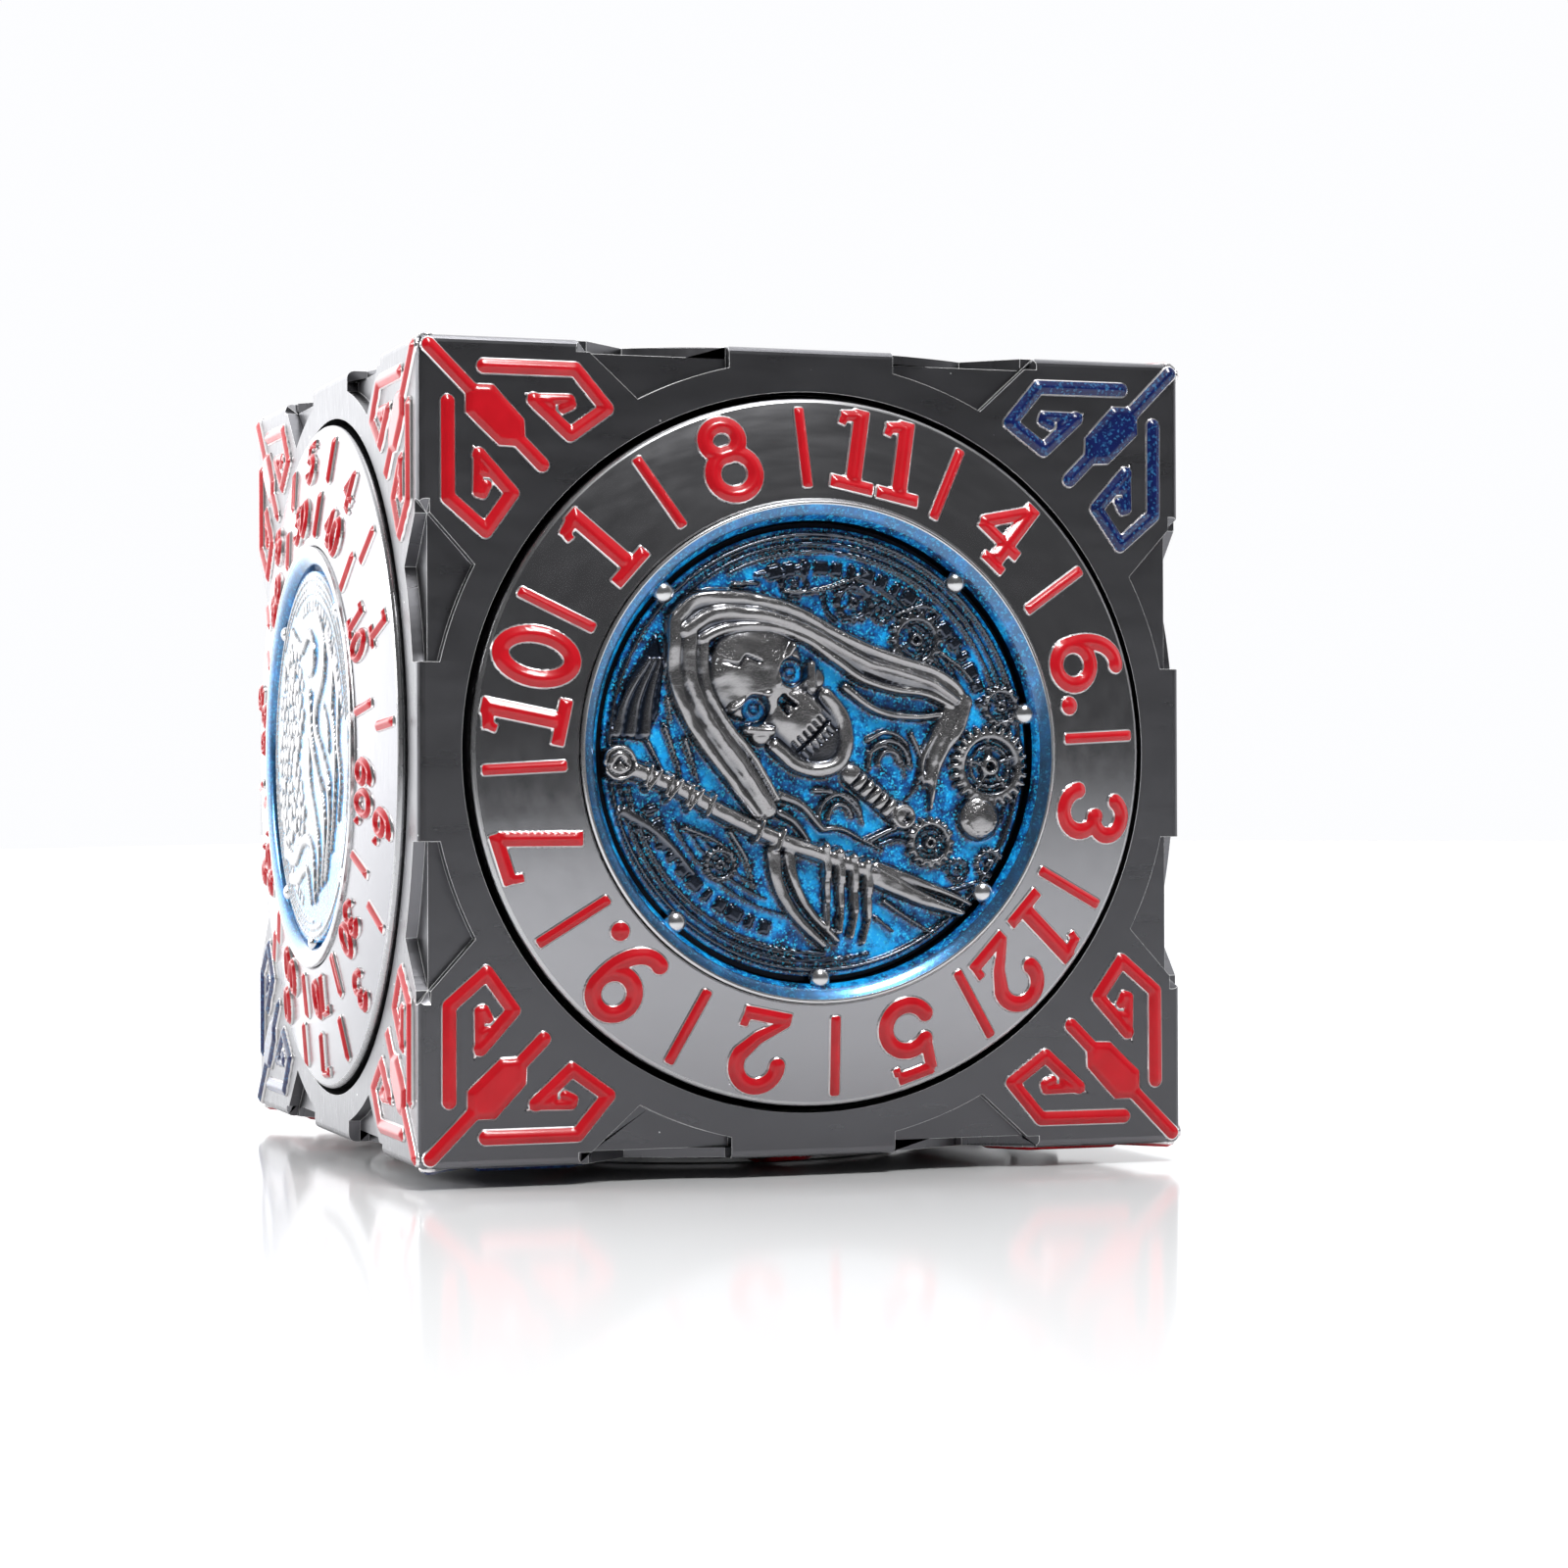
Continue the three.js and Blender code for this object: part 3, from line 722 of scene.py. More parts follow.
motif = relief_sheet("corner_motif", corner_motif, ((0.1, 0.1), (10.2, 10.2)), 0.16, 0.36, cell=0.1)
BLUE_CORNER = {"front": 1, "left": 3, "back": 0, "right": 2, "top": 3, "bottom": 0}
for face in FACES:
    red_ones = []
    for corner in range(4):
        # corner 0 is top left; the motif is drawn with its corner at the origin, x right and y down
        to_corner = (Matrix.Rotation(-corner * math.pi / 2, 4, "Z")
                     @ Matrix.Translation((-HALF, HALF, 0))
                     @ Matrix.Rotation(-math.pi / 2, 4, "Z"))
        flatter = Matrix.Diagonal((1, 1, 0.45 if face == "top" else 1, 1))
        piece = copy_of(motif, f"corner_motif_{face}", face_matrix(face) @ to_corner @ flatter)
        if corner == BLUE_CORNER[face]:
            piece.name = f"pointer_corner_{face}"
            paint(piece, blue_flake_enamel)
            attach(piece, "frame")
        else:
            red_ones.append(piece)
    corners = join(f"red_corners_{face}", red_ones)
    paint(corners, red_enamel)
    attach(corners, "frame")
discard(motif)


# ------------------------------------------------------------------ medallions
# Cast silver-plated discs pressed into the dials: cogs, rings and figures stand out of a pool of
# translucent blue glitter enamel, inside a smooth enamelled band and a ring of domed rivets.


def eased(points, steps=6):
    """A smooth line through the points (Catmull-Rom)."""
    p = [np.array(q, float) for q in points]
    p = [2 * p[0] - p[1]] + p + [2 * p[-1] - p[-2]]
    line = []
    for i in range(1, len(p) - 2):
        for k in range(steps):
            t = k / steps
            line.append(tuple(0.5 * (2 * p[i] + (p[i + 1] - p[i - 1]) * t
                                     + (2 * p[i - 1] - 5 * p[i] + 4 * p[i + 1] - p[i + 2]) * t * t
                                     + (3 * p[i] - p[i - 1] - 3 * p[i + 1] + p[i + 2]) * t ** 3)))
    return line + [tuple(p[-2])]


class Relief:
    """A height field over a disc, in millimetres above the cube's face, built up by stamping shapes."""

    def __init__(self, x, y, floor):
        self.x, self.y, self.z = x, y, np.full(x.shape, floor)

    def stamp(self, distance, low, top, shoulder):
        """Raises the inside of a shape: a short wall to low, then a rounded shoulder up to top."""
        s = np.clip(-distance / shoulder, 0, 1)
        wall = np.clip(0.5 - distance / 0.1, 0, 1)
        form = low + (top - low) * np.sqrt(1 - (1 - s) ** 2)
        self.z = np.maximum(self.z, wall * form)

    def carve(self, distance, bottom, slope_width=0.16):
        """Lowers the inside of a shape to bottom, with a sloping side."""
        s = np.clip(0.5 - distance / slope_width, 0, 1)
        self.z = self.z * (1 - s) + np.minimum(self.z, bottom) * s

    def fold(self, points, half, end_half, top, low=0.7):
        distance = stroke(self.x, self.y, eased(points), half, end_half)
        self.stamp(distance, low, top, (half + end_half) / 2)

    def ring(self, centre, radius, half, top, low=0.66, arc=None):
        dx, dy = self.x - centre[0], self.y - centre[1]
        distance = np.abs(np.hypot(dx, dy) - radius) - half
        if arc:
            turn = (np.degrees(np.arctan2(dy, dx)) - arc[0]) % 360
            distance = np.where(turn < (arc[1] - arc[0]) % 360, distance, 9)
        self.stamp(distance, low, top, half)

    def dome(self, centre, radius, top, low=0.75):
        self.stamp(np.hypot(self.x - centre[0], self.y - centre[1]) - radius, low, top, radius)

    def cog(self, centre, radius, teeth, spokes, top=1.0):
        dx, dy = self.x - centre[0], self.y - centre[1]
        r, turn = np.hypot(dx, dy), np.arctan2(dy, dx)
        tooth = np.clip(0.5 + 1.6 * np.cos(teeth * turn), 0, 1) * 0.16 * radius * (r > 0.8 * radius)
        self.stamp(np.abs(r - 0.8 * radius) - 0.13 * radius - tooth, 0.7, top, 0.1 * radius)
        self.ring(centre, 0.52 * radius, 0.05 * radius, top - 0.12)
        self.dome(centre, 0.3 * radius, top + 0.1)
        for i in range(spokes):
            a = 2 * math.pi * (i + 0.3) / spokes
            tip = (centre[0] + 0.75 * radius * math.cos(a), centre[1] + 0.75 * radius * math.sin(a))
            self.stamp(slab(self.x, self.y, centre, tip, 0.07 * radius, 0.02), 0.66, top - 0.15, 0.08)
        self.carve(r - 0.1 * radius, 0.6)

    def ticks(self, inner, outer, arc, step, top=0.86):
        for i in range(int((arc[1] - arc[0]) / step)):
            a = math.radians(arc[0] + i * step)
            way = (math.cos(a), math.sin(a))
            ends = [(way[0] * r, way[1] * r) for r in (inner, outer)]
            self.stamp(slab(self.x, self.y, *ends, 0.2 + 0.1 * ((i * 7) % 3), 0.06), 0.7, top, 0.12)


SMALLER = 0.88  # the left medallion against the others


def dial_rings(relief, scale):
    """Border shared by all medallions: a full ring, two sets of arcs and two rows of blocks."""
    relief.ring((0, 0), 10.75 * scale, 0.12, 0.92)
    for radius, top, arc in ((10.3, 0.86, (-20, 140)), (9.9, 0.9, (12, 118)), (10.3, 0.86, (183, 285)),
                             (9.9, 0.9, (190, 272))):
        relief.ring((0, 0), radius * scale, 0.1, top, arc=arc)
    relief.ticks(8.75 * scale, 9.45 * scale, (16, 112), 5.2)
    relief.ticks(8.7 * scale, 9.4 * scale, (198, 262), 5.4)


def hooded_skull(relief):
    """Front centre piece: a skull in a hood with a staff, among cogs. All of it drawn for this model."""
    x, y = relief.x, relief.y
    for centre, radius, teeth, spokes, top in (
            ((5.2, 5.6), 1.35, 14, 4, 0.95), ((9.1, -0.7), 1.95, 26, 5, 1.1), ((9.75, 2.3), 1.0, 14, 3, 1.0),
            ((5.9, -4.5), 1.2, 16, 4, 1.05), ((9.1, -5.6), 0.78, 12, 3, 0.95),
            ((7.4, -5.9), 0.6, 10, 3, 0.85), ((-5.1, -5.5), 0.85, 18, 4, 0.95),
            ((1.9, 7.4), 1.0, 12, 4, 0.88), ((-1.2, 8.3), 0.75, 10, 3, 0.86),
            ((3.4, 6.9), 0.55, 9, 3, 0.84)):
        relief.cog(centre, radius, teeth, spokes, top)
    relief.dome((8.5, -3.3), 1.15, 1.4)
    relief.ring((8.5, -3.3), 0.8, 0.08, 1.32)
    for points in ([(0.3, 8.0), (0.5, 7.0), (1.0, 6.5)], [(-3.2, 8.7), (-1.9, 8.9), (-0.4, 9.2)],
                   [(2.9, 8.3), (4.0, 7.7), (4.6, 7.0)], [(6.5, 6.4), (7.3, 5.6), (7.6, 4.7)],
                   [(3.2, -4.6), (4.2, -4.3), (5.0, -4.6)], [(6.8, -7.0), (7.8, -6.7), (8.6, -6.6)]):
        relief.fold(points, 0.12, 0.12, 0.85, 0.64)
    # the cape behind the hood, and a serrated spine below the staff
    cape = [(-10.7, 0.7), (-10.0, 3.2), (-8.3, 5.8), (-7.9, 4.3), (-8.2, 1.9), (-8.9, 0.5)]
    relief.stamp(polygon(x, y, cape), 0.72, 0.84, 0.3)
    for shift in (0, 0.75, 1.5):
        pleat = [(-10.4 + shift, 0.9), (-9.9 + shift * 0.8, 2.6), (-8.7 + shift * 0.35, 4.5)]
        relief.fold(pleat, 0.3, 0.16, 0.98)
    relief.fold([(-10.0, -2.9), (-8.6, -3.7), (-7.4, -4.8), (-6.5, -5.9)], 0.32, 0.15, 0.95)
    for k in range(6):
        relief.dome((-9.3 + 0.55 * k, -3.75 - 0.42 * k), 0.17, 0.9, 0.66)
    for radius, *arc in ((8.25, 24, 84), (7.85, 30, 70), (8.2, 204, 262), (7.7, 210, 250), (7.3, 214, 244)):
        relief.ring((0, 0), radius, 0.08, 0.84, arc=arc)
    for half, *points in (
            (0.17, (2.6, 0.6), (3.6, 1.0), (4.6, 0.5), (5.0, -0.8)),
            (0.15, (2.7, 0.0), (3.5, 0.3), (4.3, -0.2), (4.6, -1.2)),
            (0.16, (4.9, 0.9), (5.4, -0.3), (5.2, -1.6), (4.6, -2.4)),
            (0.17, (-0.2, -1.9), (0.8, -2.0), (1.8, -2.6), (2.4, -3.6)),
            (0.18, (0.2, -3.8), (1.2, -3.8), (2.2, -4.3), (3.4, -4.9)),
            (0.16, (-8.8, 0.5), (-8.1, -0.8)), (0.16, (-7.9, 1.2), (-7.1, -1.1)),
            (0.14, (-6.9, 0.6), (-6.2, -1.5)), (0.14, (-7.8, 2.6), (-7.6, 1.5)),
            (0.16, (-4.6, -3.9), (-3.8, -5.2), (-3.4, -6.6)),
            (0.14, (-6.9, -3.7), (-5.4, -4.3), (-4.4, -5.0)),
            (0.14, (3.4, -7.4), (4.6, -8.2), (5.8, -8.9)), (0.12, (3.0, -8.2), (3.9, -8.9)),
            (0.12, (-1.8, 7.9), (0.2, 8.0), (2.6, 8.9)), (0.14, (-4.4, 8.2), (-3.0, 8.3)),
            (0.12, (4.2, 6.9), (5.6, 7.3), (6.6, 6.8)), (0.13, (6.6, 4.9), (7.6, 4.2), (8.4, 3.3))):
        relief.fold(points, half, 0.07, 1.0)
    # chest: ribs and the folds under the chin
    for centre, radius in (((3.7, -0.5), 1.05), ((3.7, -0.5), 0.55), ((1.1, -3.2), 1.1), ((1.1, -3.2), 0.6)):
        relief.ring(centre, radius, 0.15, 1.0, arc=(-10, 200))
    relief.fold([(-2.1, -2.1), (-0.9, -2.6), (0.1, -3.7)], 0.3, 0.2, 1.05)
    relief.fold([(-2.0, -3.0), (-1.2, -3.5), (-0.5, -4.4)], 0.26, 0.16, 1.0)
    relief.fold([(2.6, -4.4), (4.0, -3.8), (5.2, -3.9)], 0.22, 0.1, 0.95)
    # neck
    relief.stamp(stroke(x, y, [(1.7, -1.1), (4.1, -3.1)], 0.6), 0.75, 1.2, 0.6)
    for k in range(6):
        a, b = 1.95 + 0.38 * k, -1.35 - 0.32 * k
        relief.carve(slab(x, y, (a - 0.45, b - 0.55), (a + 0.45, b + 0.55), 0.06, 0.02), 0.78, 0.1)
    relief.ring((4.4, -3.2), 0.5, 0.2, 1.25)
    # skull, on its own axes: a towards the chin, b across it
    a = (x + 2.6) * 0.70 - (y - 3.2) * 0.714
    b = (x + 2.6) * 0.714 + (y - 3.2) * 0.70
    relief.stamp(stroke(a, b, [(-0.5, 0), (3.5, 0)], 2.15, 1.65), 0.72, 0.98, 0.5)
    cranium = np.hypot((a + 1.1) / 2.35, b / 2.6)
    relief.stamp((cranium - 1) * 2.4, 0.75, 1.5, 1.9)
    for side in (-1, 1):
        relief.stamp(np.hypot(a - 1.35, b - side * 1.95) - 0.62, 0.75, 1.25, 0.6)
        relief.stamp(stroke(a, b, [(0.75, side * 2.3), (1.6, side * 1.5)], 0.3), 0.75, 1.35, 0.3)
    relief.stamp((np.hypot((a - 2.2) / 1.7, b / 1.4) - 1) * 1.5, 0.75, 1.38, 1.0)
    jaw = [(2.3, -1.85), (3.7, -1.7), (4.8, -0.95), (5.2, 0), (4.8, 0.95), (3.7, 1.7), (2.3, 1.85)]
    relief.stamp(stroke(a, b, eased(jaw), 0.42), 0.75, 1.3, 0.42)
    for side in (-1, 1):
        brow = [(-0.62, side * 2.2), (-0.35, side * 1.1), (0.15, side * 0.35)]
        relief.stamp(stroke(a, b, brow, 0.25), 0.9, 1.56, 0.25)
    for side in (-1, 1):
        relief.carve(np.hypot((a - 0.28) / 1.02, (b - side * 1.32) / 0.98) - 0.68, 0.5, 0.2)
        eye = (-2.6 + 0.28 * 0.7 + side * 1.32 * 0.714, 3.2 - 0.28 * 0.714 + side * 1.32 * 0.7)
        relief.ring(eye, 0.26, 0.07, 0.8)
        relief.carve(stroke(a, b, [(0.9, side * 0.1), (1.5, side * 0.26)], 0.17, 0.1), 0.55, 0.12)
    relief.carve(np.abs(a - 3.32) - 0.07 + 0.25 * (np.abs(b) > 1.2), 0.7, 0.1)
    for k in range(-3, 4):
        relief.carve(slab(a, b, (2.72, 0.36 * k), (3.95, 0.36 * k), 0.045, 0.01), 0.8, 0.08)
    relief.carve(stroke(a, b, [(-2.6, -0.9), (-1.9, -0.5), (-2.0, 0.1), (-1.3, 0.4)], 0.05), 1.2, 0.1)
    # hood: the cloth (half widths, then points), then its folds (top, half widths, points)
    for half, end, *points in (
            (0.95, 0.55, (-6.9, 5.9), (-6.8, 4.4), (-6.5, 3.0), (-5.9, 1.7), (-4.9, 0.3), (-3.8, -1.1),
             (-2.7, -2.8)),
            (0.9, 0.6, (-6.8, 6.1), (-5.6, 6.8), (-3.3, 6.8), (-1.0, 6.2), (0.9, 5.25), (2.6, 4.5),
             (4.4, 3.9), (6.0, 3.5), (7.3, 2.6)),
            (0.75, 0.3, (7.3, 2.4), (6.9, 1.2), (6.2, 0.0), (5.8, -1.4))):
        relief.stamp(stroke(x, y, eased(points), half, end), 0.78, 1.2, 0.4)
    for top, half, end, *points in (
            (1.3, 0.52, 0.3, (-7.4, 6.3), (-7.5, 4.6), (-7.3, 3.0), (-6.6, 1.4), (-5.6, -0.1), (-4.4, -1.6),
             (-3.2, -3.1)),
            (1.42, 0.5, 0.28, (-6.7, 5.8), (-6.75, 4.4), (-6.5, 3.1), (-5.9, 1.8), (-5.0, 0.5), (-3.9, -0.9),
             (-2.7, -2.7)),
            (1.3, 0.36, 0.2, (-6.0, 5.4), (-6.0, 4.2), (-5.8, 3.1), (-5.3, 2.2), (-4.5, 1.0), (-3.4, -0.3),
             (-2.2, -2.3)),
            (1.3, 0.46, 0.25, (-7.4, 6.5), (-6.2, 7.45), (-3.6, 7.5), (-1.2, 6.9), (0.6, 6.0), (2.4, 5.2),
             (4.2, 4.6), (6.0, 4.1), (7.3, 3.3), (7.8, 2.4)),
            (1.48, 0.5, 0.3, (-6.9, 5.9), (-5.6, 6.7), (-3.4, 6.75), (-1.0, 6.15), (0.9, 5.2), (2.6, 4.4),
             (4.4, 3.9), (6.0, 3.4), (7.2, 2.6)),
            (1.35, 0.36, 0.22, (-6.1, 5.5), (-4.8, 6.05), (-2.5, 6.1), (-0.6, 5.5), (0.9, 4.5), (2.3, 3.6),
             (4.0, 3.1), (5.6, 2.9), (7.0, 2.3)),
            (1.1, 0.28, 0.2, (1.4, 3.2), (3.0, 2.1), (5.0, 1.75), (6.7, 1.9)),
            (1.3, 0.5, 0.12, (7.7, 2.5), (7.4, 1.3), (6.6, 0.1), (6.1, -1.3), (5.9, -2.8)),
            (1.15, 0.36, 0.1, (7.0, 2.0), (6.2, 1.0), (5.5, -0.3), (5.5, -1.6))):
        relief.fold(points, half, end, top)
    # staff and blade
    shaft = eased([(-10.0, -0.7), (-7.3, -1.75), (-5.0, -3.0), (-2.6, -4.1), (0.2, -5.1), (2.8, -6.0)])
    relief.stamp(stroke(x, y, shaft, 0.48, 0.42), 0.8, 1.4, 0.45)
    for k in range(6):
        cx, cy = -8.9 + 0.52 * k, -1.1 - 0.24 * k
        lean = 0.35 if k % 2 else -0.1
        thread = slab(x, y, (cx - 0.28 - lean, cy - 0.62), (cx + 0.28, cy + 0.55), 0.15, 0.05)
        relief.stamp(thread, 0.85, 1.5, 0.15)
    for cx, cy in ((-5.7, -2.6), (-3.2, -3.85), (-2.1, -4.3)):
        relief.stamp(slab(x, y, (cx - 0.28, cy - 0.62), (cx + 0.28, cy + 0.6), 0.17, 0.08), 0.85, 1.55, 0.17)
    relief.fold([(3.0, -6.2), (5.4, -7.3), (7.4, -8.0), (8.8, -8.35)], 0.55, 0.1, 1.25)
    relief.fold([(3.0, -5.7), (5.6, -6.6), (7.4, -7.3), (8.7, -8.0)], 0.35, 0.1, 1.1)
    relief.stamp(np.hypot(x + 10.3, y + 0.55) - 0.95, 0.85, 1.3, 0.3)
    relief.carve(np.abs(np.hypot(x + 10.3, y + 0.55) - 0.62) - 0.05, 0.95, 0.08)
    relief.carve(stroke(x, y, [(-10.6, -0.7), (-10.3, -0.3), (-10.0, -0.7)], 0.06), 1.05, 0.08)
    # sleeve and bony hand round the staff
    relief.fold([(-2.4, -4.9), (-2.2, -6.4), (-1.3, -8.0), (0.2, -9.5)], 0.45, 0.25, 1.15)
    relief.fold([(-1.6, -5.0), (-1.3, -6.4), (-0.5, -7.8), (0.9, -9.3)], 0.36, 0.2, 1.15)
    for k in range(4):
        top_x, top_y = 0.25 + 0.72 * k, -4.7 - 0.27 * k
        for half, x0, y0, x1, y1 in ((0.27, 0, 0, 0.1, -1.2), (0.22, 0.1, -1.5, 0.15, -2.6),
                                     (0.17, 0.15, -2.8, 0.1 - 0.1 * k, -3.9)):
            bone = stroke(x, y, [(top_x + x0, top_y + y0), (top_x + x1, top_y + y1)], half)
            relief.stamp(bone, 0.85, 1.5 if y0 == 0 else 1.25, half)
        relief.dome((top_x + 0.02, top_y), 0.34, 1.55)
        relief.dome((top_x + 0.12, top_y - 1.4), 0.3, 1.4)


def scaled_wave(relief):
    """Left centre piece: overlapping scales on one side of a pool, long curling waves on the other."""
    x, y = relief.x / SMALLER, relief.y / SMALLER
    scatter = np.random.default_rng(3)
    for row in range(15):
        for column in range(9):
            jitter_x, jitter_y, size = scatter.random(3)
            cx = -9.6 + 0.92 * column + (0.46 if row % 2 else 0) + 0.35 * (jitter_x - 0.5)
            cy = 7.0 - 0.86 * row + 0.4 * (jitter_y - 0.5)
            edge_x = -2.9 - 0.6 * math.cos(cy * 0.9)
            if math.hypot(cx, cy) < 9.6 and cx < edge_x and cy > -5.2:
                r = np.hypot(x - cx, y - cy)
                relief.stamp((r - 0.38 - 0.16 * size) * SMALLER, 0.72, 1.0 + 0.2 * size, 0.4)
                relief.carve((r - 0.14) * SMALLER, 0.85)
    for top, half, end, *points in (
            (1.3, 0.6, 0.25, (1.6, 8.4), (3.6, 6.8), (3.4, 4.8), (1.6, 3.2), (1.4, 1.6), (3.2, 0.2),
             (5.0, -1.6), (5.2, -4.4), (4.2, -7.2)),
            (1.25, 0.5, 0.2, (-0.4, 3.6), (0.2, 1.0), (1.6, -0.8), (3.4, -2.4), (4.0, -4.8), (3.2, -7.6)),
            (1.2, 0.5, 0.2, (-0.8, 0.8), (-0.4, -1.6), (1.0, -3.4), (2.2, -5.4), (2.0, -8.0)),
            (1.2, 0.5, 0.2, (-7.6, -5.8), (-4.8, -6.2), (-2.0, -5.0), (0.4, -5.6), (1.2, -8.6)),
            (1.1, 0.4, 0.15, (-6.2, -7.4), (-3.8, -7.4), (-1.4, -6.8), (0.0, -8.8)),
            (1.25, 0.45, 0.2, (-5.6, 7.6), (-2.8, 6.6), (-0.6, 7.4), (1.0, 6.6), (0.6, 5.2), (-0.8, 5.0)),
            (1.25, 0.5, 0.15, (4.8, 7.2), (6.2, 5.0), (6.0, 2.6), (7.0, 0.2), (6.8, -2.8), (5.8, -5.6)),
            (1.15, 0.45, 0.12, (6.8, 5.6), (7.8, 3.2), (7.6, 0.8), (8.4, -1.4), (7.8, -3.8)),
            (1.1, 0.35, 0.12, (3.6, 2.8), (4.8, 1.8), (5.2, 0.2))):
        relief.stamp(stroke(x, y, eased(points), half, end) * SMALLER, 0.78, top, (half + end) / 2 * SMALLER)


def clockwork(relief, points, phase):
    """Centre piece of the other dials: a great wheel with a star, meshing with a ring of small wheels."""
    x, y = relief.x, relief.y
    relief.cog((0, 0), 4.6, 9 * points, 0, 1.15)
    for i in range(points):
        a = 2 * math.pi * i / points + phase
        spoke = [(0, 0), (3.1 * math.cos(a), 3.1 * math.sin(a))]
        relief.stamp(stroke(x, y, spoke, 0.62, 0.08), 0.75, 1.5, 0.5)
        b = a + math.pi / points
        size, teeth = (1.5, 14) if i % 2 else (1.15, 11)
        reach = 4.9 + size
        relief.cog((reach * math.cos(b), reach * math.sin(b)), size, teeth, 3 + i % 2, 1.0)
        for turn in (-0.16, 0.16):
            ray = [(r * math.cos(t), r * math.sin(t)) for r, t in ((5.4, a + turn), (7.7, a + turn * 0.7))]
            relief.stamp(stroke(x, y, ray, 0.3, 0.14), 0.75, 1.15, 0.25)
    relief.dome((0, 0), 1.0, 1.55)


def blurred(field, reach):
    """The field smoothed over reach grid steps each way, twice, along both axes."""
    kernel = np.ones(2 * reach + 1) / (2 * reach + 1)
    for _ in range(2):
        padded = np.pad(field, reach, mode="edge")
        padded = np.apply_along_axis(np.convolve, 0, padded, kernel, "valid")
        field = np.apply_along_axis(np.convolve, 1, padded, kernel, "valid")
    return field


POOL_LEVEL = 0.62


def relief_disc(name, radius, cell, draw, pool, squash, wear_and_shade_lift):
    """The cast and enamelled disc inside the band: a fine grid raised to the drawn relief.

    The enamel is filled to the height pool, the relief above it is squashed to fit under the band's
    rim, and wear_and_shade_lift, from 0 to 1, says how much of the tarnish is worn off its low parts
    and how much of the painted shade in its creases is lifted.
    """
    side = round(2 * radius / cell)
    piece, points = fine_grid(name, side, side)
    mesh = piece.data
    reach = radius + cell
    x, y = (points[:, i].reshape(side + 1, side + 1) * reach for i in (0, 1))
    relief = Relief(x, y, 0.4)
    draw(relief)
    noise = np.random.default_rng(5).random(x.shape) - 0.5
    uneven = blurred(noise, 3) * 0.6 + blurred(noise, 7) * 2.6
    metal = relief.z + uneven * np.clip((relief.z - 0.9) / 0.3, 0, 1)
    enamel = np.clip((POOL_LEVEL + 0.03 - metal) / 0.05, 0, 1)
    # Openness falls where the pool meets the relief, and the glitter colour darkens there: partly thicker
    # enamel, partly painted shadow.
    openness = blurred(enamel, 1)
    # Where the metal lies below its surroundings, in creases and at the relief's foot: a mask of painted
    # shade.
    crevice_shade = np.clip((blurred(metal, 4) - metal) * 6, 0, 1)
    z = np.maximum(metal, POOL_LEVEL + 0.05 * np.clip(1 - openness, 0, 0.5))
    z = np.where(z > POOL_LEVEL, pool + (z - POOL_LEVEL) * squash, pool)
    r = np.hypot(x, y)
    near = np.abs(r - radius) < 0.75 * cell
    fit = np.where(near, radius / np.maximum(r, 1e-6), 1)
    set_points(mesh, np.stack((x * fit, y * fit, z), axis=-1) * MM)
    set_attribute(mesh, "enamel", enamel)
    set_attribute(mesh, "openness", openness)
    # Brightness of the silver: its low parts darken as tarnish, its creases as painted shade, and the last
    # argument lifts both.
    set_attribute(mesh, "rubbed", np.clip((metal - 0.84) / 0.3 + wear_and_shade_lift, 0, 1) * (1 - crevice_shade * (1 - wear_and_shade_lift)))
    mesh.update()
    bpy.ops.object.mode_set(mode="EDIT")
    bpy.ops.mesh.select_all(action="DESELECT")
    bpy.ops.object.mode_set(mode="OBJECT")
    mesh.vertices.foreach_set("select", (r * fit > radius + 0.02 * cell).ravel())
    bpy.ops.object.mode_set(mode="EDIT")
    bpy.ops.mesh.select_mode(type="VERT")
    bpy.ops.mesh.delete(type="VERT")
    bpy.ops.mesh.select_mode(type="EDGE")
    bpy.ops.mesh.select_non_manifold()
    bpy.ops.mesh.extrude_region_move(TRANSFORM_OT_translate={"value": (0, 0, -0.3 * MM)})
    bpy.ops.transform.resize(value=(1, 1, 0), center_override=(0, 0, 0))
    bpy.ops.mesh.edge_face_add()
    bpy.ops.mesh.select_all(action="SELECT")
    bpy.ops.mesh.faces_shade_smooth()
    turn_faces_outward()
    return piece


def glitter_group():
    """Blue glitter in clear enamel: a colour from how open the pool is, near black where it narrows
    against the relief as thicker enamel and painted shadow, with random bright flakes.
    """
    group, inside, outside = node_group("blue_glitter", ("Openness",), ("Color", "Height"))
    openness = inside.outputs["Openness"]
    place = add_node(group, "TexCoord").outputs["Object"]
    flakes = add_node(group, "TexVoronoi", Vector=place, Scale=11000.0)
    chance = add_node(group, "SeparateColor", flakes.outputs["Color"]).outputs
    cloud = add_node(group, "TexNoise", Vector=place, Scale=650.0, Detail=6.0, Roughness=0.75)
    depth = add_node(group, "Math", cloud.outputs["Fac"], 2.0, -1.21, operation="MULTIPLY_ADD")
    level = add_node(group, "Math", openness, depth.outputs[0], operation="ADD")
    ramp = add_node(group, "ValToRGB", level.outputs[0])
    stops = ramp.color_ramp.elements
    # The low end, where the pool meets the relief, is near black: painted shadow over thicker enamel.
    stops[0].position, stops[0].color = 0.42, (0.001, 0.003, 0.014, 1)
    stops[1].position, stops[1].color = 0.93, (0.004, 0.42, 0.95, 1)
    stops.new(0.56).color = (0.001, 0.018, 0.085, 1)
    stops.new(0.75).color = (0.001, 0.12, 0.42, 1)
    spark = add_node(group, "MapRange", Value=chance["Red"],
                     From_Min=0.73, From_Max=1.0, To_Min=0.0, To_Max=1.0)
    shown = add_node(group, "Math", spark.outputs[0], openness, operation="MULTIPLY")
    lit = mixed(group, shown.outputs[0], ramp.outputs["Color"], (0.03, 0.62, 1.0, 1))
    set_up(outside, Color=lit, Height=chance["Green"])
    return group


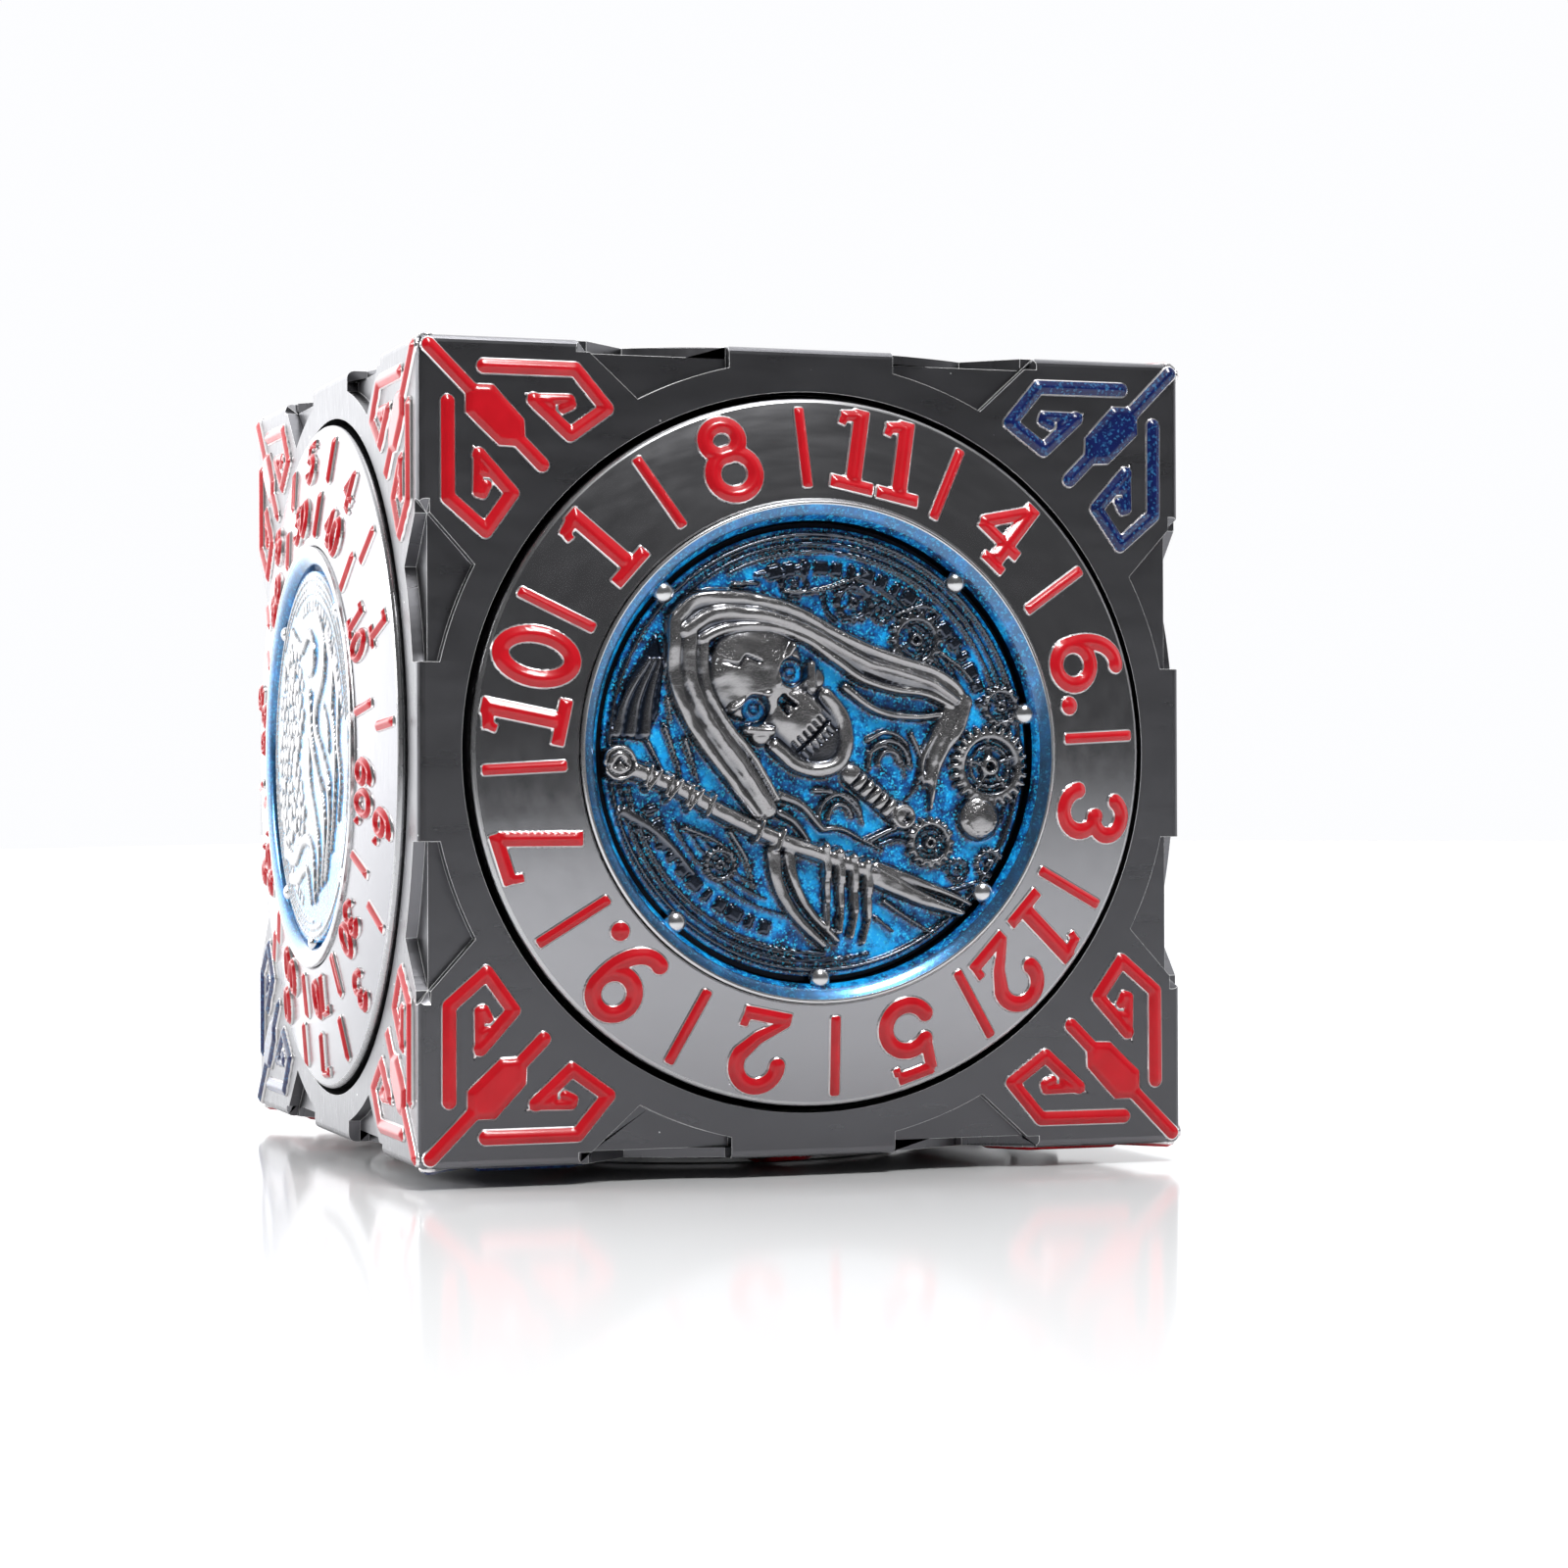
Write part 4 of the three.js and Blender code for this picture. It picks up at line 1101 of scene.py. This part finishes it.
GLITTER = glitter_group()

relief_material, tree, shader = new_material("enamelled_silver_relief")
enamel, openness, rubbed = (add_node(tree, "Attribute", attribute_name=name).outputs["Fac"]
                            for name in ("enamel", "openness", "rubbed"))
glitter = add_node(tree, "Group", node_tree=GLITTER, Openness=openness).outputs
grain = add_node(tree, "Group", node_tree=GRAIN, Tone_Depth=0.3).outputs
# Silver fades to a near-black blue in its low parts as tarnish and in its creases as painted shade.
silver = mixed(tree, rubbed, (0.012, 0.022, 0.045, 1), (0.33, 0.325, 0.33, 1))
aged_and_shaded_silver = mixed(tree, 1.0, silver, grain["Tone"], "MULTIPLY")
bare = add_node(tree, "Math", 1.0, enamel, operation="SUBTRACT")
flake_relief = add_node(tree, "Bump", Strength=0.35, Distance=0.02 * MM, Height=glitter["Height"])
set_up(shader, Base_Color=mixed(tree, enamel, aged_and_shaded_silver, glitter["Color"]), Metallic=bare.outputs[0],
       Roughness=0.24, Coat_Weight=0.5, Coat_IOR=1.6, Coat_Roughness=0.06,
       Normal=flake_relief.outputs["Normal"])

band_material, tree, shader = new_material("blue_band_enamel")
glitter = add_node(tree, "Group", node_tree=GLITTER, Openness=0.8).outputs
set_up(shader, Base_Color=mixed(tree, 0.45, (0.1, 0.26, 0.5, 1), glitter["Color"]), Metallic=0.8,
       Roughness=0.25, Coat_Weight=0.7, Coat_Roughness=0.08)
blue_glitter, tree, shader = new_material("blue_glitter_enamel")
glitter = add_node(tree, "Group", node_tree=GLITTER, Openness=0.92).outputs
set_up(shader, Base_Color=glitter["Color"], Roughness=0.3, Coat_Weight=0.4)
bright_silver = plated_metal("bright_silver", (0.62, 0.62, 0.63), 0.16, 0.2, 0.1)
# A near-black plate for the groove inside the band: painted shadow.
painted_shadow_groove = plated_metal("painted_shadow_groove", (0.012, 0.014, 0.02), 0.3, 0.2, 0.1)

RIVET_ANGLES = (136, 49.5, 10, -39, -90, -132)
# the band's rim as (way in, fall in mm), then its slope as (way in, share of the drop to the enamel)
BAND_STEPS = [(0.05, 0.01), (0.08, 0.0), (0.14, 0.0), (0.18, 0.02)]
BAND_SLOPE = [(0.3, 0.09), (0.5, 0.2), (0.68, 0.36), (0.82, 0.56), (0.92, 0.8)]
# for each face: what draws it, grid cell, height of the enamel, squash of the relief above it, and how
# much tarnish is worn off and painted crevice shade lifted
PICTURES = {
    "front": (hooded_skull, 0.08, 0.62, 0.95, 0.0),
    "left": (scaled_wave, 0.1, 1.0, 0.24, 0.64),
    "back": (lambda relief: clockwork(relief, 6, 0.2), 0.13, 0.62, 0.95, 0.0),
    "right": (lambda relief: clockwork(relief, 8, 0.0), 0.13, 0.62, 0.7, 0.0),
    "top": (lambda relief: clockwork(relief, 5, 0.31), 0.13, 0.5, 0.43, 0.0),
    "bottom": (lambda relief: clockwork(relief, 4, 0.39), 0.13, 0.5, 0.43, 0.0),
}
for face, (draw, cell, pool, squash, wear_and_shade_lift) in PICTURES.items():
    radius, top = MEDALLION[face], DOME[face]["top"]
    scale = SMALLER if face == "left" else 1.0
    inner = radius - 1.3
    drop = top - pool

    def full_drawing(relief):
        dial_rings(relief, scale)
        draw(relief)

    disc = relief_disc(f"medallion_relief_{face}", inner + 0.02, cell, full_drawing, pool, squash, wear_and_shade_lift)
    paint(disc, relief_material)
    profile = ([(inner - 0.05, -0.85), (radius, -0.85), (radius, top - 0.06)]
               + [(radius - inward, top - fall) for inward, fall in BAND_STEPS]
               + [(radius - inward, top - share * drop) for inward, share in BAND_SLOPE]
               + [(radius - 1.0, pool - 0.07), (radius - 1.03, 0.3), (inner - 0.05, 0.3)])
    band = turned(f"medallion_band_{face}", profile, DIAL_SIDES, closed=True)
    paint(band, bright_silver, band_material, blue_glitter, painted_shadow_groove)
    # The innermost facets, down in the groove, take the painted shadow black on every dial but the left.
    slope, groove = (1, 1) if face == "left" else (2, 3)
    for facet in band.data.polygons:
        inward = radius - math.hypot(*facet.center.xy) / MM
        facet.material_index = (0 if facet.center.z < 0 or inward < 0.17 else 1 if inward < 0.62
                                else slope if inward < 0.9 else groove)
    smooth_by_angle(band, 35)
    rivets = []
    for angle in np.radians(RIVET_ANGLES):
        bpy.ops.mesh.primitive_uv_sphere_add(segments=20, ring_count=12, radius=0.56 * scale * MM)
        rivet = bpy.context.object
        place = (11.15 * scale * math.cos(angle), 11.15 * scale * math.sin(angle), min(0.82, top - 0.5))
        rivet.data.transform(Matrix.Translation(Vector(place) * MM) @ Matrix.Diagonal((1, 1, 0.85, 1)))
        bpy.ops.object.shade_smooth()
        rivets.append(rivet)
    studs = join(f"medallion_rivets_{face}", rivets)
    paint(studs, bright_silver)
    for piece, slot in ((disc, "medallion_silver"), (band, "enamel_blue"), (studs, "medallion_silver")):
        piece.data.transform(face_matrix(face))
        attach(piece, f"dial_{face}")
    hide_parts(f"medallion_{face}")


# ------------------------------------------------------------------ ball bearings
# Standard 12.7 x 6.35 x 4.76 mm bearings of polished chrome steel, one in the boss behind each dial:
# two ground races with a curved track, and seven balls in a pressed cage between them.

bearing_steel = plated_metal("bearing_steel", (0.72, 0.73, 0.75), 0.08, 0.1, 0.05)
cage_steel = plated_metal("cage_steel", (0.6, 0.57, 0.5), 0.2, 0.2, 0.1)
BEARING_BACK, BEARING_FRONT = -8.36, -3.6
BEARING_MIDDLE = (BEARING_BACK + BEARING_FRONT) / 2
BALL_CIRCLE = 4.7625
BALLS = 7
track = [(0.56 * math.cos(a), 0.83 * math.sin(a)) for a in np.radians(np.linspace(-60, 60, 7))]
outer_race = turned("outer_race", [
    (5.35, BEARING_BACK), (6.05, BEARING_BACK), (6.35, BEARING_BACK + 0.3), (6.35, BEARING_FRONT - 0.3),
    (6.05, BEARING_FRONT), (5.35, BEARING_FRONT),
] + [(5.07 + across, BEARING_MIDDLE + along) for across, along in reversed(track)], 64, closed=True)
inner_race = turned("inner_race", [(3.175, BEARING_BACK), (4.15, BEARING_BACK)] + [
    (4.43 - across, BEARING_MIDDLE + along) for across, along in track
] + [(4.15, BEARING_FRONT), (3.4, BEARING_FRONT), (3.175, BEARING_FRONT - 0.2)], 64, closed=True)
balls = [turned("cage_ring", [(4.54, -6.93), (4.98, -6.93), (4.98, -5.03), (4.54, -5.03)], 64, closed=True)]
for i in range(BALLS):
    turn = 2 * math.pi * i / BALLS
    place = (BALL_CIRCLE * math.cos(turn), BALL_CIRCLE * math.sin(turn), BEARING_MIDDLE)
    bpy.ops.mesh.primitive_uv_sphere_add(segments=24, ring_count=14, radius=0.66 * MM,
                                         location=Vector(place) * MM)
    bpy.ops.object.transform_apply(location=True, rotation=False, scale=False)
    balls.append(bpy.context.object)
ball_cage = join("ball_cage", balls)
for part, material, body, slot in ((outer_race, bearing_steel, "frame", "bearing_steel"),
                                   (inner_race, bearing_steel, "dial_", "bearing_steel"),
                                   (ball_cage, cage_steel, "cage_", "cage_steel")):
    paint(part, material)
    smooth_by_angle(part, 35)
    for face in FACES:
        name = f"{part.name}_{face}"
        piece = copy_of(part, f"visual_{name}", face_matrix(face))
        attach(piece, body if body == "frame" else body + face)
        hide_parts(name)
    discard(part)


# ------------------------------------------------------------------ finish

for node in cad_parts.values():
    if not node.hide_render:
        node.data.materials.clear()
        node.data.materials.append(polished_gunmetal)
